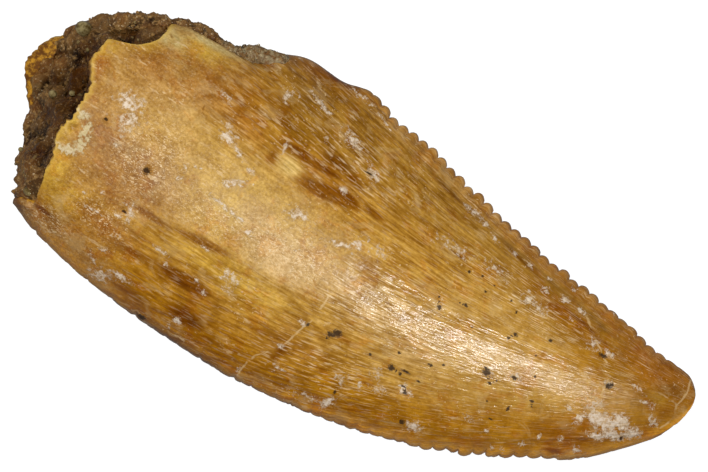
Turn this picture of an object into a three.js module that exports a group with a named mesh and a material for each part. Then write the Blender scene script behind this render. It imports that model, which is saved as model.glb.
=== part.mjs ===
// The fossil tooth of a small meat-eating dinosaur, lying on its side as it would on a table.
//
// Millimetres. +X runs from the broken base to the tip, +Y to the back edge with the coarse denticles,
// and +Z is up. The origin is under the middle of the tooth, on the surface that it rests on.
//
// tooth_crown   the enamelled crown: a hollow base, two serrated edges, a broken rim and a worn tip
// matrix_plug   the brown sandstone that fills the hollow and shows at the broken base
import * as THREE from 'three';

const { lerp, clamp, smoothstep } = THREE.MathUtils;

// The tooth seen from above: y of each edge against x.
const TIP_X = 10.04;
const TIP_ROUND_X = 9.5;
const FRONT_EDGE = [
  [-10, -2.5], [-8.5, -3.02], [-7.7, -3.37], [-7, -3.57], [-6, -3.82], [-4, -4.1], [-1.5, -4.27],
  [0, -4.2], [2, -3.97], [4, -3.52], [5, -3.2], [6, -2.72], [7, -2.2], [8, -1.68], [9, -0.76],
  [9.4, -0.34], [9.8, 0.08], [10.04, 0.36],
];
const BACK_EDGE = [
  [-10, 2.85], [-8.5, 3], [-7.5, 3.18], [-6.3, 3.46], [-5.2, 3.55], [-4.5, 3.8], [-3.5, 4.2],
  [-2.4, 4.2], [-1.5, 4.26], [-0.8, 4.08], [0.5, 3.8], [2, 3.38], [4, 2.9], [6, 2.5], [8, 2.09],
  [9.4, 1.82], [9.8, 1.78], [10.04, 1.84],
];

// Heights. The edges lie in a plane that sinks towards the tip, and each face swells above or below it.
// The lower face is cut off flat at z = 0, where the tooth rests.
const EDGE_HEIGHT = 1.8;
const EDGE_FALL = 0.06;
const EDGE_RADIUS = 0.14;
const SWELL_FULL_X = -9;
const SWELL_POWER = 1.6;
const UPPER_FACE = { side: 1, swell: 2.3, flatness: 2 };
const LOWER_FACE = { side: -1, swell: 2.1, flatness: 2.3 };

// The section is a lens. Its power is low where it is blunt, and high where it is drawn out thin.
const BASE_POWER = 0.58;
const FRONT_POWER = 0.74;
const BACK_POWER = 1.12;
const DRAWN_OUT_FROM_X = -5.5;
const DRAWN_OUT_X = -1.5;

// Denticles: beads and notches on one pitch along both edges, and how far they reach over the faces.
const DENTICLE_PITCH = 0.332;
const DENTICLE_START_X = -3.12;
const DENTICLE_COUNT = 38;
const DENTICLE_HEIGHT = 0.15;
const DENTICLE_REACH = 0.45;
const NOTCH_POWER = 5;
const NOTCH_MEAN = 0.3;
const NOTCH_PINCH = 0.4;

// What wear has left of the denticles, against x.
const BACK_DENTICLES = [
  [-3.2, 0], [-2.8, 0.5], [-2.4, 1], [6.4, 1], [7.3, 0.45], [8, 1], [8.6, 0.9], [9.3, 0],
];
const FRONT_DENTICLES = [
  [-7, 0], [-5, 0.25], [3.6, 0.25], [4.6, 1], [7.2, 1], [7.9, 0],
];

// The broken rim: x against the share of the width, from the front edge (0) to the back edge (1).
const UPPER_RIM = [
  [0, -8.45], [0.04, -8.4], [0.1, -8.06], [0.18, -8.1], [0.26, -8.08], [0.35, -8.34], [0.42, -8.38],
  [0.52, -8.27], [0.6, -8.3], [0.67, -8.5], [0.72, -8.58], [0.77, -8.5], [0.815, -8.3], [0.835, -7.8],
  [0.86, -7.45], [0.9, -7.24], [0.95, -7.16], [1, -7.2],
];
const LOWER_RIM = [
  [0, -8.45], [0.1, -8.55], [0.2, -8.85], [0.34, -9.2], [0.41, -9.55], [0.47, -9.85], [0.55, -10],
  [0.63, -9.98], [0.7, -9.8], [0.77, -9.45], [0.84, -9.1], [0.91, -8.5], [0.97, -7.7], [1, -7.2],
];

// The back edge is broken off near the base, down to the dentine.
const CHIP_END_X = -4.3;
const CHIP_LINE_Y = 3.34;
const CHIP_SLOPE = 1.6;

// The upper side of the tip is worn to a flat: its slope, the x where it would run out, and its least rise.
const WEAR_SLOPE = 0.62;
const WEAR_END_X = 10.06;
const WEAR_LEAST = 0.03;

// The hollow base narrows from this share of the section at the rim to a dome at its end.
const HOLLOW_SHARE = 0.84;
const HOLLOW_END_X = -3.6;
const HOLLOW_STEPS = [0, 0.3, 0.6, 0.82, 0.95];

// The sandstone in it, and its broken face, which leans back from the lower rim to the upper one.
const PLUG_GAP_SHARE = 0.065;
const PLUG_GAP_X = 0.2;
const PLUG_WALL_STEPS = [0.95, 0.8, 0.6, 0.35, 0.15, 0.03];
const PLUG_DENT_SHARE = 0.03;
const FACE_X = -8.8;
const FACE_HEIGHT = 3.3;
const FACE_RECESS = 0.18;
const FACE_LUMP = 0.12;
const FACE_RING_STEP = 0.08;
const FACE_PIT = { depth: 0.45, at: 0.62, half: 0.2 };

// How far the sandstone stands out past the lower rim, against the share of the width.
const FACE_OVERHANG = [
  [0, 0], [0.08, 0.15], [0.2, 0.22], [0.3, 0.1], [0.38, -0.1], [0.46, -0.26], [0.64, -0.28],
  [0.72, -0.04], [0.8, 0.24], [0.92, 0.32], [1, 0.2],
];

// How finely the surface is divided: round the crown, at the tip, on each denticle and near the base.
const UPPER_COLUMNS = 16;
const LOWER_COLUMNS = 12;
const TIP_STATIONS = [0.02, 0.08, 0.18, 0.34, 0.52];
const DENTICLE_STATIONS = [0.74, 0.26, 0];
const BASE_STATIONS = [-3.5, -3.95, -4.25, -4.4, -4.9, -5.5, -6.1, -6.7];
const RIM_STEPS = [0.4, 0.75, 1];

const enamel = new THREE.MeshStandardMaterial({ color: 0xc08a3c, roughness: 0.35, metalness: 0 });
const sandstone = new THREE.MeshStandardMaterial({ color: 0x4e3518, roughness: 0.8, metalness: 0 });

// A smooth line through points [x, y], level beyond its ends.
function lineThrough(points) {
  const slope = (i) => {
    const before = points[Math.max(i - 1, 0)];
    const after = points[Math.min(i + 1, points.length - 1)];
    return (after[1] - before[1]) / (after[0] - before[0]);
  };
  return (x) => {
    const at = clamp(x, points[0][0], points.at(-1)[0]);
    const i = Math.max(points.findIndex((p) => p[0] >= at), 1) - 1;
    const [[x0, y0], [x1, y1]] = [points[i], points[i + 1]];
    const t = (at - x0) / (x1 - x0);
    const bend = t * (1 - t) * (x1 - x0) * ((1 - t) * slope(i) - t * slope(i + 1));
    return lerp(y0, y1, t * t * (3 - 2 * t)) + bend;
  };
}

function bump(x, centre, half) {
  return Math.exp(-(((x - centre) / half) ** 2));
}

const frontLine = lineThrough(FRONT_EDGE);
const backLine = lineThrough(BACK_EDGE);
const backDenticles = lineThrough(BACK_DENTICLES);
const frontDenticles = lineThrough(FRONT_DENTICLES);
const upperRim = lineThrough(UPPER_RIM);
const lowerRim = lineThrough(LOWER_RIM);
const faceOverhang = lineThrough(FACE_OVERHANG);

// Both edges at x, drawn together in a round end at the tip.
function edges(x) {
  const past = clamp((x - TIP_ROUND_X) / (TIP_X - TIP_ROUND_X), 0, 1);
  const round = Math.sqrt(1 - past * past);
  const middle = (frontLine(x) + backLine(x)) / 2;
  const half = ((backLine(x) - frontLine(x)) / 2) * round;
  return { front: middle - half, back: middle + half, middle, width: 2 * half, round };
}

// 1 in a notch and 0 on a bead.
function notch(x) {
  const phase = (x - DENTICLE_START_X) / DENTICLE_PITCH;
  return Math.abs(Math.cos(Math.PI * phase)) ** NOTCH_POWER;
}

function edgeHeight(x) {
  return EDGE_HEIGHT - EDGE_FALL * x;
}

// How far a face stands off the plane of the edges at x and the share w of the width.
function lens(x, w, face) {
  const along = clamp((x - SWELL_FULL_X) / (TIP_X - SWELL_FULL_X), 0, 1);
  const drawnOut = smoothstep(x, DRAWN_OUT_FROM_X, DRAWN_OUT_X);
  const front = lerp(BASE_POWER, FRONT_POWER, drawnOut);
  const back = lerp(BASE_POWER, BACK_POWER, drawnOut);
  const power = lerp(front, back, smoothstep(w, 0, 1));
  const across = Math.abs(2 * w - 1) ** face.flatness;
  return face.swell * Math.sqrt(1 - along ** SWELL_POWER) * (1 - across) ** power;
}

// A point of the crown's skin: x along it and the share w of its width, on one of the two faces.
function skin(x, { w, face }) {
  const { front, back, width, round } = edges(x);
  const fromFront = w * width;
  const fromBack = (1 - w) * width;
  const frontReach = frontDenticles(x) * (1 - smoothstep(fromFront, 0, DENTICLE_REACH));
  const backReach = backDenticles(x) * (1 - smoothstep(fromBack, 0, DENTICLE_REACH));
  const cut = notch(x) - NOTCH_MEAN;
  const y = front + fromFront + DENTICLE_HEIGHT * cut * (frontReach - backReach);

  const inset = clamp(Math.min(fromFront, fromBack) / EDGE_RADIUS, 0, 1);
  const pinch = 1 - NOTCH_PINCH * cut * (frontReach + backReach);
  let rise = lens(x, w, face) + EDGE_RADIUS * round * pinch * Math.sqrt(1 - (1 - inset) ** 2);
  if (face === UPPER_FACE) {
    rise = Math.min(rise, Math.max(WEAR_SLOPE * (WEAR_END_X - x), WEAR_LEAST));
    if (x < CHIP_END_X && y > CHIP_LINE_Y) rise = Math.min(rise, (back - y) * CHIP_SLOPE);
  }
  return new THREE.Vector3(x, y, Math.max(edgeHeight(x) + face.side * rise, 0));
}

// A point inside the crown: its skin drawn in towards the middle of the section.
function inside(x, column, share) {
  return new THREE.Vector3(x, edges(x).middle, edgeHeight(x)).lerp(skin(x, column), share);
}

function rimX({ w, face }) {
  return face === UPPER_FACE ? upperRim(w) : lowerRim(w);
}

// The columns run over the upper face from front to back, and back under the lower face.
function makeColumns() {
  const share = (i, count) => 0.5 - 0.5 * Math.cos((Math.PI * i) / count);
  const upper = Array.from({ length: UPPER_COLUMNS }, (_, i) => (
    { w: share(i, UPPER_COLUMNS), face: UPPER_FACE }));
  const lower = Array.from({ length: LOWER_COLUMNS }, (_, i) => (
    { w: 1 - share(i, LOWER_COLUMNS), face: LOWER_FACE }));
  return [...upper, ...lower];
}

const columns = makeColumns();

// The x of every full ring, from the tip to the base.
function makeStations() {
  const made = TIP_STATIONS.map((fromTip) => TIP_X - fromTip);
  for (let n = DENTICLE_COUNT - 1; n >= 0; n--)
    for (const part of DENTICLE_STATIONS)
      made.push(DENTICLE_START_X + (n + part) * DENTICLE_PITCH);
  return [...made, ...BASE_STATIONS];
}

// A closed surface from rings of points, with a pole at each end.
function closedRings(startPole, rings, endPole) {
  const around = columns.length;
  const points = [startPole, ...rings.flat(), endPole];
  const at = (ring, column) => 1 + ring * around + (column % around);
  const index = [];
  for (let c = 0; c < around; c++) {
    index.push(0, at(0, c + 1), at(0, c));
    index.push(points.length - 1, at(rings.length - 1, c), at(rings.length - 1, c + 1));
    for (let r = 0; r + 1 < rings.length; r++) {
      index.push(at(r, c), at(r, c + 1), at(r + 1, c));
      index.push(at(r, c + 1), at(r + 1, c + 1), at(r + 1, c));
    }
  }
  const geometry = new THREE.BufferGeometry().setFromPoints(points).setIndex(index);
  geometry.computeVertexNormals();
  return geometry;
}

function toothCrown() {
  const stations = makeStations();
  const rings = stations.map((x) => columns.map((c) => skin(x, c)));
  // The last stretch ends on the broken rim, so its rings lean from column to column.
  for (const step of RIM_STEPS)
    rings.push(columns.map((c) => skin(lerp(stations.at(-1), rimX(c), step), c)));
  // The rim's thickness, and then the wall of the hollow up to its domed end.
  for (const step of HOLLOW_STEPS) {
    const share = HOLLOW_SHARE * Math.sqrt(1 - step * step);
    rings.push(columns.map((c) => inside(lerp(rimX(c), HOLLOW_END_X, step), c, share)));
  }
  const tip = inside(TIP_X, columns[0], 0);
  const hollowEnd = inside(HOLLOW_END_X, columns[0], 0);
  return closedRings(tip, rings, hollowEnd);
}

// Lumps of cemented sand, as a sum of waves.
function lumps({ x, y, z }) {
  const coarse = Math.sin(3.1 * y + 1.3 * z + 0.7) * Math.sin(2.7 * z - 1.1 * x + 1.9);
  const fine = Math.sin(6.3 * y - 4.1 * z + 0.4) * Math.sin(5.2 * z + 3.7 * y);
  return coarse + 0.5 * fine;
}

// The x of the sandstone's broken face at a point of its section.
function brokenFaceX({ y, z }) {
  const { front, back } = edges(FACE_X);
  const across = (y - front) / (back - front);
  const up = clamp(0.5 + (z - edgeHeight(FACE_X)) / FACE_HEIGHT, 0, 1);
  const pit = FACE_PIT.depth * bump(across, FACE_PIT.at, FACE_PIT.half) * Math.sin(Math.PI * up);
  return lerp(lowerRim(across) - faceOverhang(across), upperRim(across) + FACE_RECESS, up) + pit;
}

function matrixPlug() {
  const startX = HOLLOW_END_X - PLUG_GAP_X;
  const rings = [];
  for (const step of PLUG_WALL_STEPS) {
    const share = HOLLOW_SHARE * Math.sqrt(1 - step * step) - PLUG_GAP_SHARE;
    rings.push(columns.map((c) => {
      const x = lerp(rimX(c), startX, step);
      const dent = PLUG_DENT_SHARE * (1 + lumps(inside(x, c, share))) * (1 - step);
      return inside(x, c, share * (1 - dent));
    }));
  }
  for (let step = 1; step > 0; step -= FACE_RING_STEP)
    rings.push(columns.map((c) => {
      const point = inside(FACE_X, c, (HOLLOW_SHARE - PLUG_GAP_SHARE) * step);
      return point.setX(brokenFaceX(point) - FACE_LUMP * lumps(point));
    }));
  const faceMiddle = inside(FACE_X, columns[0], 0);
  faceMiddle.setX(brokenFaceX(faceMiddle) - FACE_LUMP * lumps(faceMiddle));
  return closedRings(inside(startX, columns[0], 0), rings, faceMiddle);
}

function namedMesh(name, geometry, material) {
  const mesh = new THREE.Mesh(geometry, material);
  mesh.name = name;
  return mesh;
}

const tooth = new THREE.Group();
tooth.add(namedMesh('tooth_crown', toothCrown(), enamel));
tooth.add(namedMesh('matrix_plug', matrixPlug(), sandstone));

export default tooth;
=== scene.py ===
"""Looks of the fossil raptor tooth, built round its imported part.

The tooth lies on its side. +X runs to the tip, +Y to the back edge with the coarse denticles and +Z is up.
Shapes, places and attributes are in millimetres, and turn into metres where a mesh is made.

enamel_crown     the striated crown with its denticles, chips, stains and specks
sandstone_fill   the cemented sand in the hollow base
edge_crust       the sand that clings to the chipped stretch of the back edge
quartz_beads     the larger glassy grains in the sand
"""

import bmesh
import bpy
import numpy as np
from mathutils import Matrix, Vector


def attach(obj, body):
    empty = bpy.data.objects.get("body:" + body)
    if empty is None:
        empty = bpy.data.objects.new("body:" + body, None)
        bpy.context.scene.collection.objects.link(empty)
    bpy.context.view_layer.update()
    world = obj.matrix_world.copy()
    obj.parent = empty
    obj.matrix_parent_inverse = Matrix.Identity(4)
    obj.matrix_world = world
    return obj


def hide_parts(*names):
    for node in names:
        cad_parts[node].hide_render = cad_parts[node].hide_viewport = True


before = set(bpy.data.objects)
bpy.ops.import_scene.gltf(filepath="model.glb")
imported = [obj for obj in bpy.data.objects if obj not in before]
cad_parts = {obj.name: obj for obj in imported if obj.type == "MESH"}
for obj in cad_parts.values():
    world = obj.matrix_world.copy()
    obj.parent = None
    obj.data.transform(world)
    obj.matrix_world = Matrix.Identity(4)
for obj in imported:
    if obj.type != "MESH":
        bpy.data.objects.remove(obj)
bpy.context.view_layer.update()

MM = 0.001

# The tooth seen from above: y of each edge against x. The rest of its shape follows from these,
# as in the part.
TIP_X = 10.04
TIP_ROUND_X = 9.5
FRONT_EDGE = [
    (-10, -2.5), (-8.5, -3.02), (-7.7, -3.37), (-7, -3.57), (-6, -3.82), (-4, -4.1), (-1.5, -4.27),
    (0, -4.2), (2, -3.97), (4, -3.52), (5, -3.2), (6, -2.72), (7, -2.2), (8, -1.68), (9, -0.76),
    (9.4, -0.34), (9.8, 0.08), (10.04, 0.36),
]
BACK_EDGE = [
    (-10, 2.85), (-8.5, 3.0), (-7.5, 3.18), (-6.3, 3.46), (-5.2, 3.55), (-4.5, 3.8), (-3.5, 4.17),
    (-2.3, 4.11), (-1.6, 4.25), (-0.85, 4.08), (0.5, 3.8), (2, 3.38), (4, 2.9), (6, 2.5), (8, 2.09),
    (9.4, 1.82), (9.8, 1.78), (10.04, 1.84),
]
# The edges: their height at x = 0, how it falls along x, and their radius.
EDGE_HEIGHT = 1.8
EDGE_FALL = 0.06
EDGE_RADIUS = 0.14
# How each face swells between the edges, and how full it is beside them at the base and further on.
SWELL_FULL_X = -9
SWELL_POWER = 1.6
UPPER_FACE = {"side": 1, "swell": 2.3, "flatness": 2}
LOWER_FACE = {"side": -1, "swell": 2.1, "flatness": 2.3}
BASE_POWER = 0.58
FRONT_POWER = 0.74
BACK_POWER = 1.12
DRAWN_OUT_FROM_X = -5.5
DRAWN_OUT_X = -1.5

# The broken rim: x against the share of the width, from the front edge (0) to the back edge (1).
UPPER_RIM = [
    (0, -8.45), (0.03, -8.25), (0.06, -7.92), (0.1, -7.9), (0.14, -7.97), (0.2, -8.0), (0.28, -8.05),
    (0.33, -8.18), (0.4, -8.2), (0.457, -8.14), (0.52, -8.08), (0.58, -8.05), (0.65, -8.17), (0.7, -8.3),
    (0.745, -8.4), (0.79, -8.36), (0.82, -8.34), (0.836, -8.3), (0.846, -8.12), (0.853, -7.82),
    (0.863, -7.56), (0.878, -7.4), (0.895, -7.24), (0.93, -7.12), (0.977, -7.07), (1, -7.1),
]
LOWER_RIM = [
    (0, -8.45), (0.1, -8.55), (0.2, -8.85), (0.34, -9.2), (0.41, -9.55), (0.47, -9.85), (0.55, -10),
    (0.63, -9.98), (0.7, -9.8), (0.77, -9.45), (0.84, -9.1), (0.91, -8.5), (0.97, -7.7), (1, -7.2),
]
RIM_RAGGED = 0.07
# The waves of the ragged rim: height, and the pace and start of the two sines that each is made of.
RIM_WAVES = [(1, 61, 1, 23, 0), (0.6, 131, 2, 47, 1), (0.5, 223, 0, 83, 2)]
# The chipped stretch of the back edge: where it ends, its inner line, its slope and how softly it ends.
CHIP_END_X = -4.3
CHIP_LINE_Y = 3.34
CHIP_SLOPE = 1.6
CHIP_BLEND = 0.25
# The worn tip: how steeply its upper face falls, where it would meet the edges, and what is left at least.
WEAR_SLOPE = 0.62
WEAR_END_X = 10.06
WEAR_LEAST = 0.03
# The hollow's size in shares of the section, in the middle and at both edges, and how far in from an
# edge the second one holds.
HOLLOW_SHARE = 0.84
HOLLOW_SHARE_AT_EDGES = 0.94
EDGE_SHARE = 0.12
HOLLOW_END_X = -3.6

# How much closer together the columns of points are at the edges than in the middle of a face.
COLUMN_CROWDING = 0.6

# The sandstone's broken face, and how far it stands out past the lower rim against the share of the width.
FACE_X = -8.8
FACE_HEIGHT = 3.3
FACE_RECESS = [
    (0, -0.1), (0.06, -0.3), (0.12, -0.3), (0.2, 0.02), (0.3, 0.2), (0.5, 0.26), (0.78, 0.3), (0.9, 0.1),
    (1, 0),
]
FACE_PIT = {"depth": 0.45, "at": 0.62, "half": 0.2}
FACE_OVERHANG = [
    (0, 0), (0.08, 0.08), (0.2, 0.14), (0.3, 0.06), (0.38, -0.16), (0.46, -0.38), (0.66, -0.38),
    (0.74, -0.1), (0.82, 0.16), (0.92, 0.34), (1, 0.3),
]

# Denticles, and what wear has left of them against x.
DENTICLE_PITCH = 0.332
DENTICLE_START_X = -3.12
DENTICLE_HEIGHT = 0.08
DENTICLE_REACH = 0.45
BACK_DENTICLES = [
    (-3.2, 0), (-1.9, 0.05), (-1.4, 0.3), (-1.1, 0.8), (-0.6, 1), (2.5, 1), (4.5, 0.75), (6.4, 0.7),
    (7.3, 0.4), (8, 0.6), (8.6, 0.55), (9.3, 0),
]
FRONT_DENTICLES = [
    (-7, 0), (-5, 0.06), (0, 0.15), (3.6, 0.35), (4.6, 0.65), (7.2, 0.6), (7.9, 0),
]

# The growth lines of the enamel run between these two, and meet both edges at a slight angle.
FRONT_GROWTH = [
    (-10, -4.55), (-4, -4.6), (-2, -4.5), (0, -4.2), (2, -3.65), (4, -2.95), (6, -2.05), (8, -0.9),
    (9.4, 0.1), (10.2, 0.5),
]
BACK_GROWTH = [
    (-10, 5.9), (-8, 5.6), (-4, 4.95), (-2, 4.45), (0, 3.9), (2, 3.35), (4, 2.9), (6, 2.5), (8, 2.15),
    (10.2, 1.7),
]


def smooth_step(value, low, high):
    t = np.clip((value - low) / (high - low), 0, 1)
    return t * t * (3 - 2 * t)


def mix(a, b, share):
    return a + (b - a) * share


def bump_at(value, centre, half):
    return np.exp(-(((value - centre) / half) ** 2))


def line_through(points):
    """A smooth line through points (x, y), level beyond its ends."""
    px, py = np.array(points, float).T
    last = len(px) - 1
    before = np.maximum(np.arange(last + 1) - 1, 0)
    after = np.minimum(np.arange(last + 1) + 1, last)
    slope = (py[after] - py[before]) / (px[after] - px[before])

    def at(x):
        x = np.clip(x, px[0], px[-1])
        i = np.clip(np.searchsorted(px, x), 1, last) - 1
        span = px[i + 1] - px[i]
        t = (x - px[i]) / span
        bend = t * (1 - t) * span * ((1 - t) * slope[i] - t * slope[i + 1])
        return mix(py[i], py[i + 1], t * t * (3 - 2 * t)) + bend

    return at


front_line = line_through(FRONT_EDGE)
back_line = line_through(BACK_EDGE)
back_denticles = line_through(BACK_DENTICLES)
front_denticles = line_through(FRONT_DENTICLES)
upper_rim = line_through(UPPER_RIM)
lower_rim = line_through(LOWER_RIM)
face_overhang = line_through(FACE_OVERHANG)
face_recess = line_through(FACE_RECESS)
front_growth = line_through(FRONT_GROWTH)
back_growth = line_through(BACK_GROWTH)


def edges(x):
    """y of the front and back edge at x, drawn together in a round end at the tip."""
    past = np.clip((x - TIP_ROUND_X) / (TIP_X - TIP_ROUND_X), 0, 1)
    round_end = np.sqrt(1 - past * past)
    middle = (front_line(x) + back_line(x)) / 2
    half = (back_line(x) - front_line(x)) / 2 * round_end
    return middle - half, middle + half, round_end


def edge_height(x):
    return EDGE_HEIGHT - EDGE_FALL * x


def lens(x, w, face):
    """How far a face stands off the plane of the edges."""
    along = np.clip((x - SWELL_FULL_X) / (TIP_X - SWELL_FULL_X), 0, 1)
    drawn_out = smooth_step(x, DRAWN_OUT_FROM_X, DRAWN_OUT_X)
    front = mix(BASE_POWER, FRONT_POWER, drawn_out)
    back = mix(BASE_POWER, BACK_POWER, drawn_out)
    power = mix(front, back, smooth_step(w, 0, 1))
    across = np.abs(2 * w - 1) ** face["flatness"]
    return face["swell"] * np.sqrt(1 - along ** SWELL_POWER) * (1 - across) ** power


def skin(x, w, face):
    """Points of the crown's skin without its denticles, and their gaps to the front and the back edge."""
    front, back, round_end = edges(x)
    front_gap = w * (back - front)
    back_gap = (1 - w) * (back - front)
    y = front + front_gap
    inset = np.clip(np.minimum(front_gap, back_gap) / EDGE_RADIUS, 0, 1)
    rise = lens(x, w, face) + EDGE_RADIUS * round_end * np.sqrt(1 - (1 - inset) ** 2)
    if face is UPPER_FACE:
        rise = np.minimum(rise, np.maximum(WEAR_SLOPE * (WEAR_END_X - x), WEAR_LEAST))
        chipped = smooth_step(x, CHIP_END_X + CHIP_BLEND, CHIP_END_X - CHIP_BLEND) * (y > CHIP_LINE_Y)
        rise = mix(rise, np.minimum(rise, back_gap * CHIP_SLOPE), chipped)
    z = np.maximum(edge_height(x) + face["side"] * rise, 0)
    return np.stack([x, y, z], -1), front_gap, back_gap


def inside(x, w, face, share):
    """Skin points drawn in towards the middle of their section."""
    front, back, _ = edges(x)
    core = np.stack([x, (front + back) / 2, edge_height(x)], -1)
    return mix(core, skin(x, w, face)[0], share)


def middle_at(x):
    return inside(np.array(float(x)), np.array(0.5), UPPER_FACE, 0)


def hollow_share(w):
    near_edge = bump_at(w, 0, EDGE_SHARE) + bump_at(w, 1, EDGE_SHARE)
    return mix(HOLLOW_SHARE, HOLLOW_SHARE_AT_EDGES, near_edge)


def rim_x(w, face):
    ragged = sum(height * np.sin(pace * w + start) * np.sin(slow_pace * w + slow_start)
                 for height, pace, start, slow_pace, slow_start in RIM_WAVES)
    smooth = upper_rim(w) if face is UPPER_FACE else lower_rim(w)
    return smooth + RIM_RAGGED * ragged * np.sin(np.pi * w)


def round_columns(upper_count, lower_count):
    """Shares of the width, over the upper face from front to back and back under the lower face."""

    def shares(count):
        t = np.arange(count) / count
        return mix(t, 0.5 - 0.5 * np.cos(np.pi * t), COLUMN_CROWDING)

    return [(UPPER_FACE, shares(upper_count)), (LOWER_FACE, 1 - shares(lower_count))]


def round_ring(columns, make):
    """One ring of points round the crown, from make(w, face) on each face."""
    return np.concatenate([make(w, face) for face, w in columns])


def into_scene(name, data):
    thing = bpy.data.objects.new(name, data)
    bpy.context.scene.collection.objects.link(thing)
    return thing


def closed_rings(name, start_pole, rings, end_pole, values):
    """A closed mesh from rings of points, with a pole at each end, and values for each ring point."""
    rings = np.array(rings)
    ring_count, around = rings.shape[:2]
    points = np.concatenate([[start_pole], rings.reshape(-1, 3), [end_pole]])
    grid = 1 + np.arange(ring_count * around).reshape(ring_count, around)
    beside = np.roll(grid, -1, axis=1)
    quads = np.stack([grid[:-1], beside[:-1], beside[1:], grid[1:]], -1).reshape(-1, 4)
    start_fan = np.stack([np.zeros(around, int), beside[0], grid[0]], -1)
    end_fan = np.stack([np.full(around, len(points) - 1), grid[-1], beside[-1]], -1)

    mesh = bpy.data.meshes.new(name)
    faces = [*quads.tolist(), *start_fan.tolist(), *end_fan.tolist()]
    mesh.from_pydata((points * MM).tolist(), [], faces)
    mesh.shade_smooth()
    piece = into_scene(name, mesh)
    for key, value in values.items():
        value = np.array(value, float)
        flat = value.reshape(ring_count * around, -1)
        flat = np.concatenate([flat[:1], flat, flat[-1:]])
        paint(piece, key, flat)
    return piece


def paint(piece, key, value):
    """Stores one number or one vector for each point of the piece's mesh."""
    kind, field = ("FLOAT", "value") if value.shape[1] == 1 else ("FLOAT_VECTOR", "vector")
    layer = piece.data.attributes.new(key, kind, "POINT")
    layer.data.foreach_set(field, np.ascontiguousarray(value, np.float32).ravel())


# Trees of nodes, for shapes and for materials.
def put(socket, value):
    """Links a socket to an input, or sets it to a plain value."""
    if isinstance(value, bpy.types.NodeSocket):
        socket.id_data.links.new(value, socket)
    elif value is not None:
        socket.default_value = value


def in_use(sockets, key):
    """The socket with that number, or the one with that name that the node's settings leave in use."""
    if isinstance(key, int):
        return sockets[key]
    return next(socket for socket in sockets if socket.name == key and socket.enabled)


def add(tree, kind, inputs=None, **settings):
    node = tree.nodes.new(kind)
    for key, value in settings.items():
        setattr(node, key, value)
    for key, value in (inputs or {}).items():
        put(in_use(node.inputs, key), value)
    return node


def chance(tree, kind, seed, low, high, ids=None):
    """A random number or vector for each point, or for each value of ids."""
    inputs = {"Min": low, "Max": high, "Seed": seed, "ID": ids}
    node = add(tree, "FunctionNodeRandomValue", inputs, data_type=kind)
    return in_use(node.outputs, "Value")


def calc(tree, operation, *values, clamp=False):
    node = add(tree, "ShaderNodeMath", operation=operation, use_clamp=clamp)
    for socket, value in zip(node.inputs, values):
        put(socket, value)
    return node.outputs[0]


def times(tree, *values):
    product = values[0]
    for value in values[1:]:
        product = calc(tree, "MULTIPLY", product, value)
    return product


def plus(tree, *values):
    total = values[0]
    for value in values[1:]:
        total = calc(tree, "ADD", total, value)
    return total


def from_half(tree, value):
    """A noise value, moved to lie about 0."""
    return calc(tree, "SUBTRACT", value, 0.5)


def less(tree, share):
    """What a share leaves of 1."""
    return calc(tree, "SUBTRACT", 1.0, share)


def one_over(tree, size):
    return calc(tree, "DIVIDE", 1.0, size)


def ramp(tree, value, low, high, start=0.0, end=1.0):
    """Goes smoothly from start to end as value goes from low to high."""
    inputs = {"Value": value, "From Min": low, "From Max": high, "To Min": start, "To Max": end}
    return add(tree, "ShaderNodeMapRange", inputs, interpolation_type="SMOOTHSTEP").outputs[0]


def vector_of(tree, x=0.0, y=0.0, z=0.0):
    return add(tree, "ShaderNodeCombineXYZ", {"X": x, "Y": y, "Z": z}).outputs[0]


def stretched(tree, vector, scale):
    node = add(tree, "ShaderNodeVectorMath", {0: vector, 1: scale}, operation="MULTIPLY")
    return node.outputs[0]


def noise(tree, vector, scale, detail=2.0, roughness=0.5, distortion=0.0):
    node = add(tree, "ShaderNodeTexNoise", {"Vector": vector, "Scale": scale, "Detail": detail,
                                            "Roughness": roughness, "Distortion": distortion})
    return node.outputs["Fac"]


def patches(tree, place, low, high, **shape):
    """Patches of noise: none where it is below low, and full where it is above high."""
    return ramp(tree, noise(tree, place, **shape), low, high)


def new_group(kind, name, inputs, outputs):
    """A node group with its sockets. Each has a default number, or else the name of its type."""
    tree = bpy.data.node_groups.new(name, kind)
    for in_out, sockets in (("INPUT", inputs), ("OUTPUT", outputs)):
        for title, value in sockets.items():
            type_name = value if isinstance(value, str) else {float: "Float", int: "Int"}[type(value)]
            socket = tree.interface.new_socket(title, in_out=in_out, socket_type="NodeSocket" + type_name)
            if type_name != value:
                socket.default_value = value
    start = tree.nodes.new("NodeGroupInput").outputs
    end = tree.nodes.new("NodeGroupOutput").inputs
    return tree, start, end


def grow(piece, tree, **values):
    """Runs a Geometry Nodes tree on a piece, and keeps its result as the piece's plain mesh."""
    step = piece.modifiers.new(tree.name, "NODES")
    step.node_group = tree
    titles = {}
    for item in tree.interface.items_tree:
        if item.item_type == "SOCKET" and item.in_out == "INPUT":
            titles[item.name.replace(" ", "_").lower()] = item.identifier
    for title, value in values.items():
        step[titles[title]] = value
    seen = piece.evaluated_get(bpy.context.evaluated_depsgraph_get())
    grown = bpy.data.meshes.new_from_object(seen)
    piece.modifiers.remove(step)
    piece.data = grown


def named(tree, title, kind="FLOAT"):
    node = add(tree, "GeometryNodeInputNamedAttribute", {"Name": title}, data_type=kind)
    return in_use(node.outputs, "Attribute")


def store(tree, geometry, title, value, domain):
    """Stores a number with the geometry, for a finish to read."""
    inputs = {"Geometry": geometry, "Name": title, "Value": value}
    node = add(tree, "GeometryNodeStoreNamedAttribute", inputs, data_type="FLOAT", domain=domain)
    return node.outputs[0]


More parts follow.
